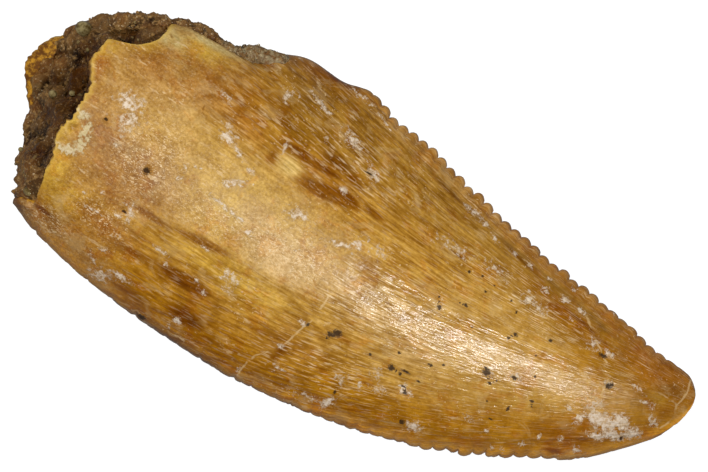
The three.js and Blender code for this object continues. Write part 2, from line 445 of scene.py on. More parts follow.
def finish_tree(tree, geometry, material, end):
    real = add(tree, "GeometryNodeRealizeInstances", {"Geometry": geometry}).outputs[0]
    dressed = add(tree, "GeometryNodeSetMaterial", {"Geometry": real, "Material": material}).outputs[0]
    put(end["Geometry"], dressed)


def along_normal(tree, height):
    """A move of this many millimetres along the surface's normal."""
    normal = tree.nodes.new("GeometryNodeInputNormal").outputs[0]
    inputs = {0: normal, "Scale": times(tree, height, MM)}
    return add(tree, "ShaderNodeVectorMath", inputs, operation="SCALE").outputs[0]


def move(tree, geometry, offset):
    return add(tree, "GeometryNodeSetPosition", {"Geometry": geometry, "Offset": offset}).outputs[0]


def place_in_mm(tree):
    position = tree.nodes.new("GeometryNodeInputPosition").outputs[0]
    return stretched(tree, position, (1 / MM, 1 / MM, 1 / MM))


# How sharp the notches are between the denticles, how far a whole one stands out in units of its
# height, and half the width of the groove along their foot.
NOTCH_POWER = 0.8
WHOLE_DENTICLE = 1.3
FOOT_GROOVE_HALF = 0.12


def denticle_tree():
    """Cuts a row of denticles into the back edge and the front edge of the crown."""
    tree, start, end = new_group("GeometryNodeTree", "serrated_edges", {
        "Geometry": "Geometry", "Pitch": 0.33, "First Notch": 0.0, "Height": 0.15, "Reach": 0.45,
        "Slant": 0.2, "Groove": 0.05, "Band Groove": 0.03, "Unevenness": 0.4, "Seed": 1,
        "Material": "Material",
    }, {"Geometry": "Geometry"})
    along = named(tree, "along")
    moves = []
    grooves = []
    for edge, way in (("back", -1), ("front", 1)):
        gap = named(tree, edge + "_gap")
        left = named(tree, edge + "_left")
        leaning = calc(tree, "ADD", along, times(tree, gap, start["Slant"]))
        phase = calc(tree, "DIVIDE", calc(tree, "SUBTRACT", leaning, start["First Notch"]), start["Pitch"])
        wave = calc(tree, "ABSOLUTE", calc(tree, "SINE", times(tree, phase, np.pi)))
        notch = less(tree, calc(tree, "POWER", wave, NOTCH_POWER))
        denticle = calc(tree, "FLOOR", phase)
        worn = times(tree, chance(tree, "FLOAT", start["Seed"], 0.0, 1.0, denticle), start["Unevenness"])
        uneven = less(tree, worn)
        near = ramp(tree, gap, 0.0, start["Reach"], 1.0, 0.0)
        strength = times(tree, near, left)
        # A worn denticle is lower than its neighbours, but the notches beside it keep their place.
        stands_out = calc(tree, "SUBTRACT", times(tree, uneven, WHOLE_DENTICLE), 1.0)
        profile = calc(tree, "SUBTRACT", notch, stands_out)
        moves.append(times(tree, profile, strength, start["Height"], way * MM))
        grooves.append(times(tree, notch, strength, start["Groove"], -1.0))
        off_band = calc(tree, "ABSOLUTE", calc(tree, "SUBTRACT", gap, start["Reach"]))
        foot = ramp(tree, off_band, 0.0, FOOT_GROOVE_HALF, 1.0, 0.0)
        grooves.append(times(tree, foot, left, start["Band Groove"], -1.0))
    offset = vector_of(tree, y=calc(tree, "ADD", *moves))
    groove = along_normal(tree, plus(tree, *grooves))
    both = add(tree, "ShaderNodeVectorMath", {0: offset, 1: groove}, operation="ADD").outputs[0]
    finish_tree(tree, move(tree, start["Geometry"], both), start["Material"], end)
    return tree


GRIT_PER_MM = 7.0
GRIT_EVERYWHERE = 0.15
# Chips in the front edge: their pace along it, the noise where they start and are full, and their reach.
CHIPS_PER_MM = 2.3
CHIP_NOISE = (0.5, 0.72)
CHIP_REACH = 0.5


def enamel_relief_tree():
    """Raises the growth lines and wrinkles of the enamel, and knocks small chips out of the front edge."""
    tree, start, end = new_group("GeometryNodeTree", "enamel_relief", {
        "Geometry": "Geometry", "Line Count": 16.0, "Line Height": 0.02, "Wrinkle Size": 0.8,
        "Wrinkle Height": 0.03, "Grit Height": 0.02, "Chip Depth": 0.1, "Material": "Material",
    }, {"Geometry": "Geometry"})
    place = place_in_mm(tree)
    strand = named(tree, "strand", "FLOAT_VECTOR")
    lines = noise(tree, stretched(tree, strand, vector_of(tree, start["Line Count"], 0.25, 1.0)), 1.0, 3.0)
    wrinkles = noise(tree, place, one_over(tree, start["Wrinkle Size"]), 3.0)
    grit = noise(tree, place, GRIT_PER_MM, 2.0)
    gritty = calc(tree, "ADD", named(tree, "gritty"), GRIT_EVERYWHERE)
    height = plus(tree, times(tree, from_half(tree, lines), start["Line Height"]),
                  times(tree, from_half(tree, wrinkles), start["Wrinkle Height"]),
                  times(tree, from_half(tree, grit), gritty, start["Grit Height"]))
    offset = along_normal(tree, calc(tree, "SUBTRACT", height, named(tree, "pit")))
    raised = move(tree, start["Geometry"], offset)
    # Chips come off the front edge where a coarse noise is high.
    along = times(tree, named(tree, "along"), CHIPS_PER_MM)
    chip = patches(tree, vector_of(tree, along), *CHIP_NOISE, scale=1.0, detail=3.0, roughness=0.7)
    near_edge = ramp(tree, named(tree, "front_gap"), 0.0, CHIP_REACH, 1.0, 0.0)
    offset = vector_of(tree, y=times(tree, chip, near_edge, start["Chip Depth"], MM))
    chipped = move(tree, raised, offset)
    # What the tooth lies on stays flat.
    position = tree.nodes.new("GeometryNodeInputPosition").outputs[0]
    lowest = {0: position, 1: (-1.0, -1.0, 0.0)}
    lifted = add(tree, "ShaderNodeVectorMath", lowest, operation="MAXIMUM").outputs[0]
    flat = add(tree, "GeometryNodeSetPosition", {"Geometry": chipped, "Position": lifted}).outputs[0]
    finish_tree(tree, flat, start["Material"], end)
    return tree


SWELL_SHARE = 3.0
CRUMB_SHARE = 1.2
# The rounded lumps and crumbs: height at the middle of a cell, how it falls off from there, and its share.
CELL_MIDDLE = 0.45
CELL_FALL = 1.6
CELL_SHARE = 0.8
# How often large grains are rare, how much the grains are stretched, and how far they are turned.
GRAIN_RARITY = 3.0
GRAIN_STRETCH = ((0.7, 0.7, 0.6), (1.3, 1.1, 1.0))
GRAIN_TURN = ((0.0, 0.0, 0.0), (6.28, 6.28, 6.28))


def sandstone_tree():
    """Roughens a body of sandstone and beds sand grains in its surface."""
    tree, start, end = new_group("GeometryNodeTree", "bedded_sand", {
        "Geometry": "Geometry", "Lump Size": 0.7, "Lump Height": 0.12, "Crumb Size": 0.16,
        "Crumb Height": 0.08, "Grains per mm2": 40.0, "Smallest": 0.03, "Largest": 0.1, "Seed": 1,
        "Material": "Material",
    }, {"Geometry": "Geometry"})
    place = place_in_mm(tree)
    per_lump = one_over(tree, start["Lump Size"])
    per_crumb = one_over(tree, start["Crumb Size"])
    swell = noise(tree, place, per_lump, 1.0)
    layers = [times(tree, from_half(tree, swell), SWELL_SHARE, start["Lump Height"])]
    for scale, wandering, size in ((times(tree, per_lump, 1.6), 0.35, start["Lump Height"]),
                                   (per_crumb, 0.12, start["Crumb Height"])):
        drift = add(tree, "ShaderNodeTexNoise", {"Vector": place, "Scale": scale}).outputs["Color"]
        bent = add(tree, "ShaderNodeVectorMath", {0: place, 1: stretched(tree, drift, (wandering,) * 3)},
                   operation="ADD").outputs[0]
        cells = add(tree, "ShaderNodeTexVoronoi", {"Vector": bent, "Scale": scale}, feature="SMOOTH_F1")
        fall = calc(tree, "POWER", cells.outputs["Distance"], CELL_FALL)
        layers.append(times(tree, calc(tree, "SUBTRACT", CELL_MIDDLE, fall), CELL_SHARE, size))
    crumbs = noise(tree, place, times(tree, per_crumb, 1.7), 3.0, 0.6)
    layers.append(times(tree, from_half(tree, crumbs), CRUMB_SHARE, start["Crumb Height"]))
    height = times(tree, plus(tree, *layers), named(tree, "bare"))
    raised = calc(tree, "DIVIDE", height, calc(tree, "ADD", start["Lump Height"], start["Crumb Height"]))
    # The height is stored for the finish, which paints shade into the hollows with it.
    told_height = store(tree, start["Geometry"], "raised", raised, "POINT")
    body = move(tree, told_height, along_normal(tree, height))
    per_square_metre = times(tree, start["Grains per mm2"], 1 / MM ** 2)
    density = times(tree, per_square_metre, named(tree, "bare"))
    scatter = add(tree, "GeometryNodeDistributePointsOnFaces",
                  {"Mesh": body, "Density": density, "Seed": start["Seed"]})
    grain = add(tree, "GeometryNodeMeshIcoSphere", {"Radius": 1.0, "Subdivisions": 1}).outputs["Mesh"]
    rarer = calc(tree, "POWER", chance(tree, "FLOAT", start["Seed"], 0.0, 1.0), GRAIN_RARITY)
    size_range = calc(tree, "SUBTRACT", start["Largest"], start["Smallest"])
    size = times(tree, calc(tree, "ADD", start["Smallest"], times(tree, rarer, size_range)), MM)
    stretch = chance(tree, "FLOAT_VECTOR", 5, *GRAIN_STRETCH)
    scale = add(tree, "ShaderNodeVectorMath", {0: stretch, "Scale": size}, operation="SCALE").outputs[0]
    turn = chance(tree, "FLOAT_VECTOR", 6, *GRAIN_TURN)
    inputs = {"Points": scatter.outputs["Points"], "Instance": grain, "Rotation": turn, "Scale": scale}
    bedded = add(tree, "GeometryNodeInstanceOnPoints", inputs).outputs[0]
    marked = store(tree, bedded, "grain", chance(tree, "FLOAT", 8, 0.05, 1.0), "INSTANCE")
    joined = tree.nodes.new("GeometryNodeJoinGeometry")
    tree.links.new(marked, joined.inputs[0])
    tree.links.new(body, joined.inputs[0])
    finish_tree(tree, joined.outputs[0], start["Material"], end)
    return tree


# Tones of the real tooth, as red, green and blue out of 255.
def tone(red, green, blue):
    """A linear colour from the red, green and blue that a screen shows."""
    shown = np.array([red, green, blue]) / 255
    return np.where(shown <= 0.04045, shown / 12.92, ((shown + 0.055) / 1.055) ** 2.4)


HONEY = tone(194, 145, 62)
# Pale cream that paints the highlight along the crest.
CREAM_AND_HIGHLIGHT = tone(224, 188, 134)
DULL_TAN = tone(158, 110, 54)
CREAM = tone(194, 151, 72)
PALE_CREAM = tone(205, 166, 86)
TAN = tone(180, 134, 72)
PINKISH_TAN = tone(168, 119, 60)
OLIVE = tone(172, 127, 54)
DARK_OLIVE = tone(158, 112, 40)
LIGHT_OLIVE = tone(196, 152, 76)
AMBER = tone(180, 124, 34)
DARK_AMBER = tone(160, 102, 14)
BURNT_AMBER = tone(162, 102, 24)
RUST = tone(158, 94, 28)
UMBER = tone(128, 82, 28)
YELLOW = tone(200, 156, 60)
BRIGHT_YELLOW = tone(212, 170, 62)
DUST = tone(164, 120, 70)
EDGE_BAND = tone(186, 140, 72)
EDGE_LIGHT = tone(210, 158, 88)
FRONT_LIGHT = tone(226, 158, 48)
EDGE_GROOVE = tone(140, 98, 44)
PALE_GREEN = tone(214, 196, 138)
OVAL_CREAM = tone(222, 188, 114)
ROSY_CREAM = tone(200, 160, 106)

# Soft washes of colour over the enamel: x, y, half length, half width, turn in degrees, tone, strength.
# The pale cream washes along the crest, at y about -0.1 to -1.1, are partly painted highlight.
WASHES = [
    (-6.4, 1.2, 2.0, 1.6, 0, TAN, 0.8),
    (-6.4, -0.4, 2.0, 1.2, 0, PINKISH_TAN, 0.9),
    (-2.4, 1.8, 2.0, 0.5, -6, AMBER, 0.5),
    (-4.6, 0.9, 2.4, 0.9, 0, CREAM, 0.8),
    (-2.6, -0.2, 2.8, 1.2, 0, PALE_CREAM, 0.95),
    (0.6, -0.5, 2.6, 1.2, 0, CREAM, 0.9),
    # Partly painted highlight along the crest.
    (3.6, -0.5, 3.2, 0.9, 5, CREAM, 0.75),
    (4.6, 0.6, 3.0, 0.8, -4, LIGHT_OLIVE, 0.7),
    (3.4, -1.7, 2.6, 0.6, 12, LIGHT_OLIVE, 0.8),
    (-1.6, -1.6, 1.8, 0.8, 0, CREAM, 0.5),
    (-3.6, -1.8, 1.6, 0.5, 0, HONEY, 0.7),
    (-1.2, -2.6, 2.0, 0.6, 0, HONEY, 0.7),
    (-2.4, 2.7, 1.4, 0.6, -8, DARK_OLIVE, 0.8),
    (0.6, 2.2, 2.2, 0.7, -10, OLIVE, 0.6),
    (4.4, 1.9, 2.8, 0.5, -12, OLIVE, 0.8),
    (7.4, 1.3, 1.8, 0.8, -10, DARK_OLIVE, 0.8),
    (-4.6, 2.6, 1.2, 0.6, -12, RUST, 0.45),
    (-3.0, 3.7, 2.0, 0.45, 0, UMBER, 0.55),
    (-2.4, 4.1, 0.9, 0.2, 0, RUST, 0.5),
    (-6.1, 3.0, 0.9, 0.35, 5, YELLOW, 0.8),
    (-7.0, 2.95, 0.4, 0.24, 0, PALE_GREEN, 0.85),
    (-6.2, 3.05, 0.6, 0.2, 8, BRIGHT_YELLOW, 0.7),
    (-6.9, 2.4, 0.5, 0.15, 30, RUST, 0.4),
    (-5.6, 2.5, 0.8, 0.15, -20, RUST, 0.4),
    (-8.2, 1.25, 0.26, 0.5, 0, RUST, 0.85),
    (-7.0, 2.1, 0.6, 0.45, -20, RUST, 0.5),
    (-5.3, 1.9, 0.7, 0.4, -25, RUST, 0.5),
    (-8.1, -0.5, 0.2, 0.6, 0, BRIGHT_YELLOW, 0.8),
    (-7.85, -1.75, 0.35, 0.6, 0, BRIGHT_YELLOW, 0.8),
    (-7.3, -2.2, 0.6, 0.5, -10, YELLOW, 0.8),
    (-8.3, 1.9, 0.3, 0.3, 0, BRIGHT_YELLOW, 0.8),
    (-7.4, 2.35, 0.5, 0.25, 20, YELLOW, 0.7),
    (-4.1, 1.8, 0.7, 0.32, -20, RUST, 0.6),
    (9.5, 1.2, 0.6, 0.6, 0, RUST, 0.7),
    (-2.8, 4.15, 0.8, 0.3, 0, RUST, 0.7),
    # Painted highlight along the crest, over the pale cream.
    (-1.4, -0.85, 1.1, 0.6, 0, CREAM_AND_HIGHLIGHT, 0.75),
    (1.5, -0.7, 1.5, 0.6, 0, CREAM_AND_HIGHLIGHT, 0.6),
    (4.2, -0.4, 1.5, 0.35, 5, CREAM_AND_HIGHLIGHT, 0.4),
    (6.5, -0.1, 0.9, 0.3, 6, CREAM_AND_HIGHLIGHT, 0.55),
    (-3.0, 2.4, 0.9, 0.4, -10, DARK_OLIVE, 0.6),
    (2.5, 1.5, 0.6, 0.22, -10, OLIVE, 0.7),
    (5.2, 1.75, 1.0, 0.25, -14, DARK_OLIVE, 0.7),
    (-5.6, -0.7, 0.8, 0.6, 0, DULL_TAN, 0.6),
    (-0.2, -2.75, 0.8, 0.3, 10, RUST, 0.4),
    (-8.4, -2.95, 0.3, 0.25, 0, UMBER, 0.9),
    (-7.0, -3.1, 1.4, 0.4, -8, DUST, 0.6),
    (-7.9, -2.82, 0.5, 0.16, -10, RUST, 0.7),
    (-6.1, -2.25, 1.0, 0.2, -6, RUST, 0.6),
    (-6.3, 0.6, 0.7, 0.5, 0, BRIGHT_YELLOW, 0.35),
    (-4.7, 0.9, 1.0, 0.6, -10, BRIGHT_YELLOW, 0.4),
    (-3.1, 0.3, 0.8, 0.4, 0, BRIGHT_YELLOW, 0.35),
    (-6.0, -2.5, 0.9, 0.4, 0, PINKISH_TAN, 0.5),
    (-5.9, -1.2, 1.2, 0.5, 0, PINKISH_TAN, 0.5),
    (1.6, -3.2, 2.6, 0.5, 8, AMBER, 0.5),
    (5.6, -2.0, 1.8, 0.4, 24, AMBER, 0.8),
    (7.6, -1.2, 0.9, 0.5, 25, RUST, 0.6),
    (9.2, 1.0, 0.9, 0.8, 0, AMBER, 0.75),
    (9.0, 1.35, 0.3, 0.2, 0, RUST, 0.6),
    (8.4, 0.55, 0.6, 0.3, 0, TAN, 0.5),
    (1.2, 0.7, 0.4, 0.3, 0, HONEY, 0.5),
    (2.15, 1.0, 0.35, 0.1, 0, AMBER, 0.7),
    (0.8, -1.5, 0.4, 1.2, -20, TAN, 0.35),
    (-1.6, 1.5, 1.3, 0.5, 0, RUST, 0.4),
    (-3.4, -2.5, 1.0, 0.35, 0, RUST, 0.35),
    (-8.3, -2.95, 0.4, 0.3, 0, UMBER, 0.85),
    (9.3, 0.9, 0.7, 0.7, 0, BURNT_AMBER, 0.6),
    (9.1, 0.85, 0.26, 0.18, 0, YELLOW, 0.6),
    (8.0, 1.4, 1.1, 0.5, -14, BURNT_AMBER, 0.55),
    (6.0, 1.52, 1.6, 0.28, -12, BURNT_AMBER, 0.7),
    (6.9, 0.8, 0.7, 0.4, 0, AMBER, 0.6),
    (7.3, -1.3, 0.9, 0.4, 26, BURNT_AMBER, 0.65),
    (-2.6, -1.8, 1.8, 0.55, 0, BRIGHT_YELLOW, 0.4),
    (-0.4, -2.5, 0.2, 1.1, -20, DULL_TAN, 0.5),
    (0.6, 0.15, 0.35, 0.25, 0, PINKISH_TAN, 0.6),
    (-5.6, -1.25, 0.8, 0.5, 0, DULL_TAN, 0.4),
    (-5.4, 0.9, 1.9, 0.9, 0, ROSY_CREAM, 0.35),
    (-2.5, 4.1, 1.1, 0.3, 0, UMBER, 0.5),
    (-2.45, 1.42, 0.38, 0.28, 0, OVAL_CREAM, 1.0),
    (8.6, 1.45, 0.9, 0.35, -14, RUST, 0.75),
    (9.3, 1.3, 0.4, 0.4, 0, UMBER, 0.4),
    (-6.95, 2.9, 0.5, 0.26, 0, PALE_GREEN, 0.8),
    (-5.9, 3.24, 0.9, 0.1, 2, PALE_GREEN, 0.7),
    (-8.45, -2.6, 0.3, 0.3, 0, UMBER, 0.7),
    # More painted highlight along the crest.
    (2.7, -1.1, 0.9, 0.5, 0, CREAM_AND_HIGHLIGHT, 0.5),
    (-2.6, -0.1, 0.5, 0.4, 0, CREAM_AND_HIGHLIGHT, 0.5),
]

# Brown stains in the enamel: x, y, half length, half width, turn in degrees, strength.
STAINS = [
    (-0.8, 1.95, 0.4, 0.14, -20, 0.8), (-1.25, 1.3, 0.85, 0.2, 5, 1.5),
    (-0.7, 1.42, 0.42, 0.16, -10, 1.4), (-2.1, 1.84, 0.95, 0.13, -2, 1.5),
    (-3.0, 1.5, 0.16, 0.32, 10, 0.55), (-1.4, 2.15, 0.6, 0.18, -6, 1.2), (0.12, 1.42, 0.36, 0.1, -8, 1.2),
    (2.55, 1.56, 0.24, 0.05, -6, 0.7), (1.07, 1.28, 0.1, 0.035, 25, 0.9), (0.8, 0.37, 0.12, 0.06, 0, 0.6),
    (-3.4, -2.6, 0.8, 0.2, -2, 1.6), (-4.9, -1.54, 0.7, 0.1, -4, 0.9), (-3.5, -1.47, 0.9, 0.13, 4, 0.9),
    (-2.9, -3.42, 0.6, 0.26, 0, 1.2), (-5.0, -2.6, 0.9, 0.12, 0, 0.6), (-4.6, -3.6, 0.9, 0.2, -4, 0.5),
    (-5.3, -2.1, 0.9, 0.08, -3, 0.5), (-7.6, -2.78, 0.5, 0.08, -8, 0.8),
    (-5.7, -1.78, 0.09, 0.05, 0, 0.9), (-7.3, 0.14, 0.05, 0.04, 0, 1.2),
    (-5.7, -0.53, 0.08, 0.07, 0, 1.2), (-5.2, 1.62, 0.03, 0.16, 12, 0.8),
    (-2.92, 0.12, 0.02, 0.14, 8, 0.7), (-0.3, -3.0, 0.14, 0.4, -20, 0.6),
    (-7.95, -0.5, 0.1, 0.06, 50, 0.7), (7.4, -1.75, 0.3, 0.1, 20, 0.8), (7.9, -1.1, 0.3, 0.08, 30, 0.6),
    (-6.9, 2.9, 0.1, 0.04, -30, 0.8), (4.2, 2.25, 0.8, 0.07, -14, 0.7), (1.6, 2.92, 0.5, 0.05, -14, 0.6),
    (6.6, 1.55, 0.9, 0.08, -12, 0.6), (-3.45, 2.85, 0.4, 0.1, -20, 0.5), (-2.5, 4.05, 0.7, 0.1, 0, 0.5),
    (8.9, 1.75, 0.5, 0.08, -10, 0.5),
]

# Chalky patches and flakes on the surface: x, y, half length, half width, turn in degrees, strength.
CHALK = [
    (8.12, -0.42, 0.44, 0.22, 4, 2.0), (8.55, -0.2, 0.28, 0.22, 0, 1.8),
    (7.55, -0.62, 0.12, 0.18, -20, 1.0), (8.2, -0.84, 0.24, 0.1, 10, 1.6),
    (8.98, -0.32, 0.24, 0.14, 40, 0.8), (9.33, 0.25, 0.12, 0.16, 0, 0.9), (7.7, -0.15, 0.2, 0.22, 0, 0.6),
    (9.15, 0.5, 0.06, 0.06, 0, 0.6), (7.9, -1.42, 0.09, 0.1, 0, 0.8), (7.15, -0.55, 0.08, 0.06, 0, 0.7),
    (7.35, -1.38, 0.08, 0.06, 30, 0.8), (6.85, -1.6, 0.05, 0.08, 0, 0.8),
    (6.55, -2.0, 0.07, 0.07, 0, 0.7), (5.5, -2.15, 0.08, 0.05, 0, 0.8), (6.15, -2.42, 0.06, 0.05, 0, 0.7),
    (5.9, -2.5, 0.07, 0.07, 0, 0.7), (5.12, -1.85, 0.04, 0.08, 0, 0.7), (4.92, -2.1, 0.1, 0.08, 0, 0.5),
    (5.65, 1.93, 0.13, 0.1, 0, 1.0), (6.17, 1.86, 0.13, 0.08, 0, 1.0), (5.08, 1.9, 0.1, 0.09, 0, 1.0),
    (5.15, 1.4, 0.2, 0.14, 0, 0.6), (4.8, 1.42, 0.16, 0.16, 0, 0.6), (6.9, 1.25, 0.16, 0.14, -30, 0.7),
    (7.4, 1.25, 0.16, 0.07, 0, 1.0), (6.05, 1.55, 0.06, 0.06, 0, 0.8), (5.72, 2.32, 0.1, 0.06, 0, 0.9),
    (5.05, 2.22, 0.08, 0.05, 0, 0.8), (7.0, 2.25, 0.05, 0.05, 0, 0.8), (4.4, 2.26, 0.12, 0.06, 0, 0.9),
    (3.85, 2.36, 0.1, 0.06, -20, 0.7), (3.25, 2.42, 0.12, 0.05, -30, 0.7),
    (2.82, 2.66, 0.12, 0.06, 0, 0.8), (2.4, 2.8, 0.28, 0.08, -8, 0.8), (3.6, 1.7, 0.3, 0.1, 0, 0.4),
    (2.4, 1.7, 0.4, 0.1, 0, 0.35), (0.75, 0.6, 0.22, 0.14, 0, 0.55), (0.12, 0.5, 0.12, 0.22, 0, 0.6),
    (-0.28, 0.28, 0.3, 0.1, 12, 0.9), (-1.65, 0.42, 0.3, 0.12, -10, 0.45),
    (-3.5, 0.33, 0.34, 0.1, 30, 0.9), (-3.3, 0.8, 0.16, 0.08, 0, 0.8), (-4.25, 1.3, 0.22, 0.16, 0, 1.0),
    (-4.4, 1.56, 0.16, 0.08, 0, 0.8), (-3.85, 1.1, 0.2, 0.06, -30, 0.7),
    (-2.82, 1.82, 0.05, 0.14, 10, 0.9), (-0.9, 1.58, 0.14, 0.08, 0, 1.1), (-3.45, 3.0, 0.1, 0.16, 0, 1.0),
    (-3.4, 3.15, 0.16, 0.08, 0, 0.6), (-2.6, 3.3, 0.4, 0.06, -22, 0.9),
    (-1.35, 2.85, 0.32, 0.14, -20, 0.9), (-1.95, 2.5, 0.14, 0.05, -50, 0.8),
    (-0.45, 2.35, 0.26, 0.1, -30, 0.9), (-1.7, 4.0, 0.3, 0.05, -10, 0.5),
    (-0.9, 3.75, 0.3, 0.04, -30, 0.7), (-4.85, 2.2, 0.2, 0.06, -20, 0.7),
    (-6.97, 0.78, 0.34, 0.28, 20, 0.8), (-6.75, 0.4, 0.28, 0.34, 0, 0.8),
    (-6.75, -0.33, 0.1, 0.06, 0, 0.6), (-4.9, -0.28, 0.1, 0.06, 0, 0.6), (-4.5, 0.22, 0.16, 0.04, 0, 0.6),
    (-4.85, 0.05, 0.05, 0.12, 0, 0.6), (-3.4, -0.36, 0.4, 0.07, -10, 0.9),
    (-2.58, -0.66, 0.14, 0.08, 0, 0.9), (-1.2, -0.4, 0.1, 0.05, 0, 0.4),
    (-5.55, -1.72, 0.09, 0.26, 10, 0.9), (-5.78, -1.55, 0.14, 0.06, 10, 0.7),
    (-5.82, -1.95, 0.16, 0.05, -10, 0.8), (-6.35, -2.14, 0.3, 0.04, 0, 0.8),
    (-5.6, -2.45, 0.12, 0.06, 20, 1.0), (-6.45, -1.6, 0.06, 0.04, 0, 0.8),
    (-6.85, -1.85, 0.05, 0.04, 0, 0.8), (-5.7, -2.9, 0.1, 0.06, 20, 0.7),
    (-5.45, -3.55, 0.3, 0.16, 20, 1.0), (-4.95, -3.33, 0.34, 0.08, 0, 0.9),
    (-5.9, -3.25, 0.16, 0.06, -40, 0.6), (-4.35, -2.2, 0.22, 0.06, -6, 1.0),
    (-4.05, -2.45, 0.06, 0.08, 30, 0.8), (-3.15, -2.42, 0.12, 0.05, -20, 0.9),
    (-2.85, -2.6, 0.12, 0.05, -30, 0.7), (-3.1, -3.62, 0.16, 0.09, -20, 1.0),
    (-3.2, -3.86, 0.08, 0.05, 0, 0.7), (-2.35, -1.9, 0.28, 0.14, 0, 0.7), (-2.3, -2.2, 0.1, 0.1, 0, 0.5),
    (-3.4, -1.55, 0.16, 0.05, 0, 0.6), (-0.15, -2.05, 0.1, 0.07, 0, 0.7),
    (-0.35, -2.85, 0.06, 0.08, 0, 0.7), (-0.15, -3.4, 0.16, 0.1, 0, 0.7),
    (-1.0, -4.02, 0.05, 0.12, 0, 0.7), (1.47, -3.6, 0.12, 0.24, -20, 1.1),
    (1.5, -2.85, 0.12, 0.12, 0, 0.6), (1.98, -2.75, 0.06, 0.1, 0, 0.6), (2.5, -2.6, 0.14, 0.1, 0, 0.5),
    (3.78, -3.0, 0.2, 0.14, 10, 1.0), (3.08, -2.24, 0.18, 0.12, 0, 0.8), (2.25, -2.25, 0.1, 0.1, 0, 0.4),
    (0.9, -3.7, 0.3, 0.06, 10, 0.4), (-8.12, -2.5, 0.14, 0.16, 0, 1.0), (-8.0, -1.15, 0.2, 0.06, 0, 0.8),
    (-8.12, -0.02, 0.14, 0.12, 0, 1.1), (-7.85, -0.1, 0.2, 0.14, -20, 1.2),
    (-7.6, -0.42, 0.16, 0.26, 20, 1.3), (-7.56, -0.82, 0.17, 0.2, 0, 1.3),
    (-7.78, -1.04, 0.26, 0.13, 8, 1.3), (-8.05, -1.1, 0.2, 0.1, 0, 1.0), (7.8, 0.5, 0.14, 0.1, 0, 0.6),
    (8.5, -0.62, 0.4, 0.16, 14, 1.3), (8.95, -0.34, 0.3, 0.14, 30, 1.3), (8.5, 0.8, 0.2, 0.06, -20, 0.5),
    (8.9, 0.6, 0.16, 0.05, 20, 0.5), (5.5, -0.5, 0.12, 0.06, 0, 0.5),
]

# How much further than these lists the ragged outlines of the marks reach.
CHALK_GROWN = 1.15
STAINS_GROWN = 1.3

# Where bright scratches and painted glints are densest: x, y, half length, half width, turn in degrees,
# strength.
GLINTS_AND_SCRATCHES = [
    (-5.8, -0.2, 1.1, 1.2, 0, 1.2), (-3.6, -0.7, 1.6, 0.7, 0, 0.8), (-1.2, -0.6, 2.2, 0.9, 0, 1.1),
    (1.6, -0.6, 2.6, 1.1, 0, 1.4), (4.4, -0.3, 2.2, 0.9, 6, 1.2), (-1.0, 2.4, 1.6, 0.7, -10, 0.6),
    (-3.0, 2.0, 1.4, 0.6, -8, 0.3), (-6.2, -2.2, 1.2, 0.5, -8, 0.9), (-7.4, -2.95, 0.9, 0.4, -8, 1.1),
    (1.0, -2.8, 2.4, 0.8, 6, 0.7), (4.8, 1.4, 2.4, 0.6, -10, 0.9), (7.6, 0.4, 1.4, 1.0, 0, 0.6),
]

# Where the chalk is a greenish flake: x, y, radius.
FLAKE = (-7.8, -0.55, 0.9)

# Black mineral specks: x, y, radius along x, radius along y.
SPECKS = [
    (-7.3, 0.14, 0.045, 0.04), (-5.7, -0.53, 0.085, 0.07), (-8.1, -2.26, 0.1, 0.02),
    (-5.7, -1.78, 0.05, 0.03), (0.8, -1.82, 0.1, 0.08), (0.66, -1.93, 0.09, 0.06),
    (0.62, -2.07, 0.03, 0.03), (1.83, -1.88, 0.035, 0.03), (2.5, -1.92, 0.07, 0.07),
    (2.87, -1.82, 0.1, 0.025), (2.78, -1.95, 0.035, 0.03), (3.3, -1.88, 0.05, 0.02),
    (3.02, -2.2, 0.05, 0.025), (3.14, -2.32, 0.06, 0.04), (2.48, -1.47, 0.04, 0.03),
    (3.37, -1.35, 0.065, 0.03), (3.67, -1.17, 0.035, 0.03), (4.77, -0.78, 0.1, 0.08),
    (4.68, -0.7, 0.04, 0.03), (4.97, -1.0, 0.045, 0.03), (5.11, -0.85, 0.022, 0.022),
    (5.16, -1.45, 0.03, 0.02), (5.47, -1.82, 0.055, 0.02), (3.06, 1.32, 0.035, 0.035),
    (3.42, 1.4, 0.03, 0.025), (3.69, 1.07, 0.03, 0.03), (4.42, 1.2, 0.03, 0.03),
    (4.68, 1.0, 0.025, 0.045), (3.41, 0.5, 0.045, 0.035), (3.24, 0.48, 0.02, 0.015),
    (2.82, 0.11, 0.05, 0.06), (2.68, 0.35, 0.02, 0.03), (4.83, 0.3, 0.035, 0.035),
    (4.95, 0.47, 0.05, 0.04), (3.84, 0.07, 0.02, 0.02), (3.46, -3.05, 0.06, 0.06),
    (1.51, -3.22, 0.03, 0.045), (0.0, -2.0, 0.035, 0.045), (5.85, 0.78, 0.045, 0.035),
    (7.27, 1.13, 0.1, 0.04), (7.78, 0.48, 0.08, 0.06), (7.86, 0.55, 0.04, 0.05),
    (5.47, -0.55, 0.07, 0.04), (6.2, -0.87, 0.05, 0.035), (6.27, -1.0, 0.02, 0.02),
    (5.74, -1.35, 0.03, 0.06), (5.7, 0.25, 0.02, 0.02), (8.8, -0.58, 0.04, 0.04),
    (-3.98, -4.0, 0.12, 0.05), (-4.8, -4.02, 0.12, 0.03), (3.82, 1.33, 0.03, 0.015),
    (-0.78, 4.05, 0.02, 0.02), (4.0, -0.1, 0.015, 0.015), (5.95, -0.25, 0.03, 0.03),
    (-0.55, 2.3, 0.12, 0.02),
]

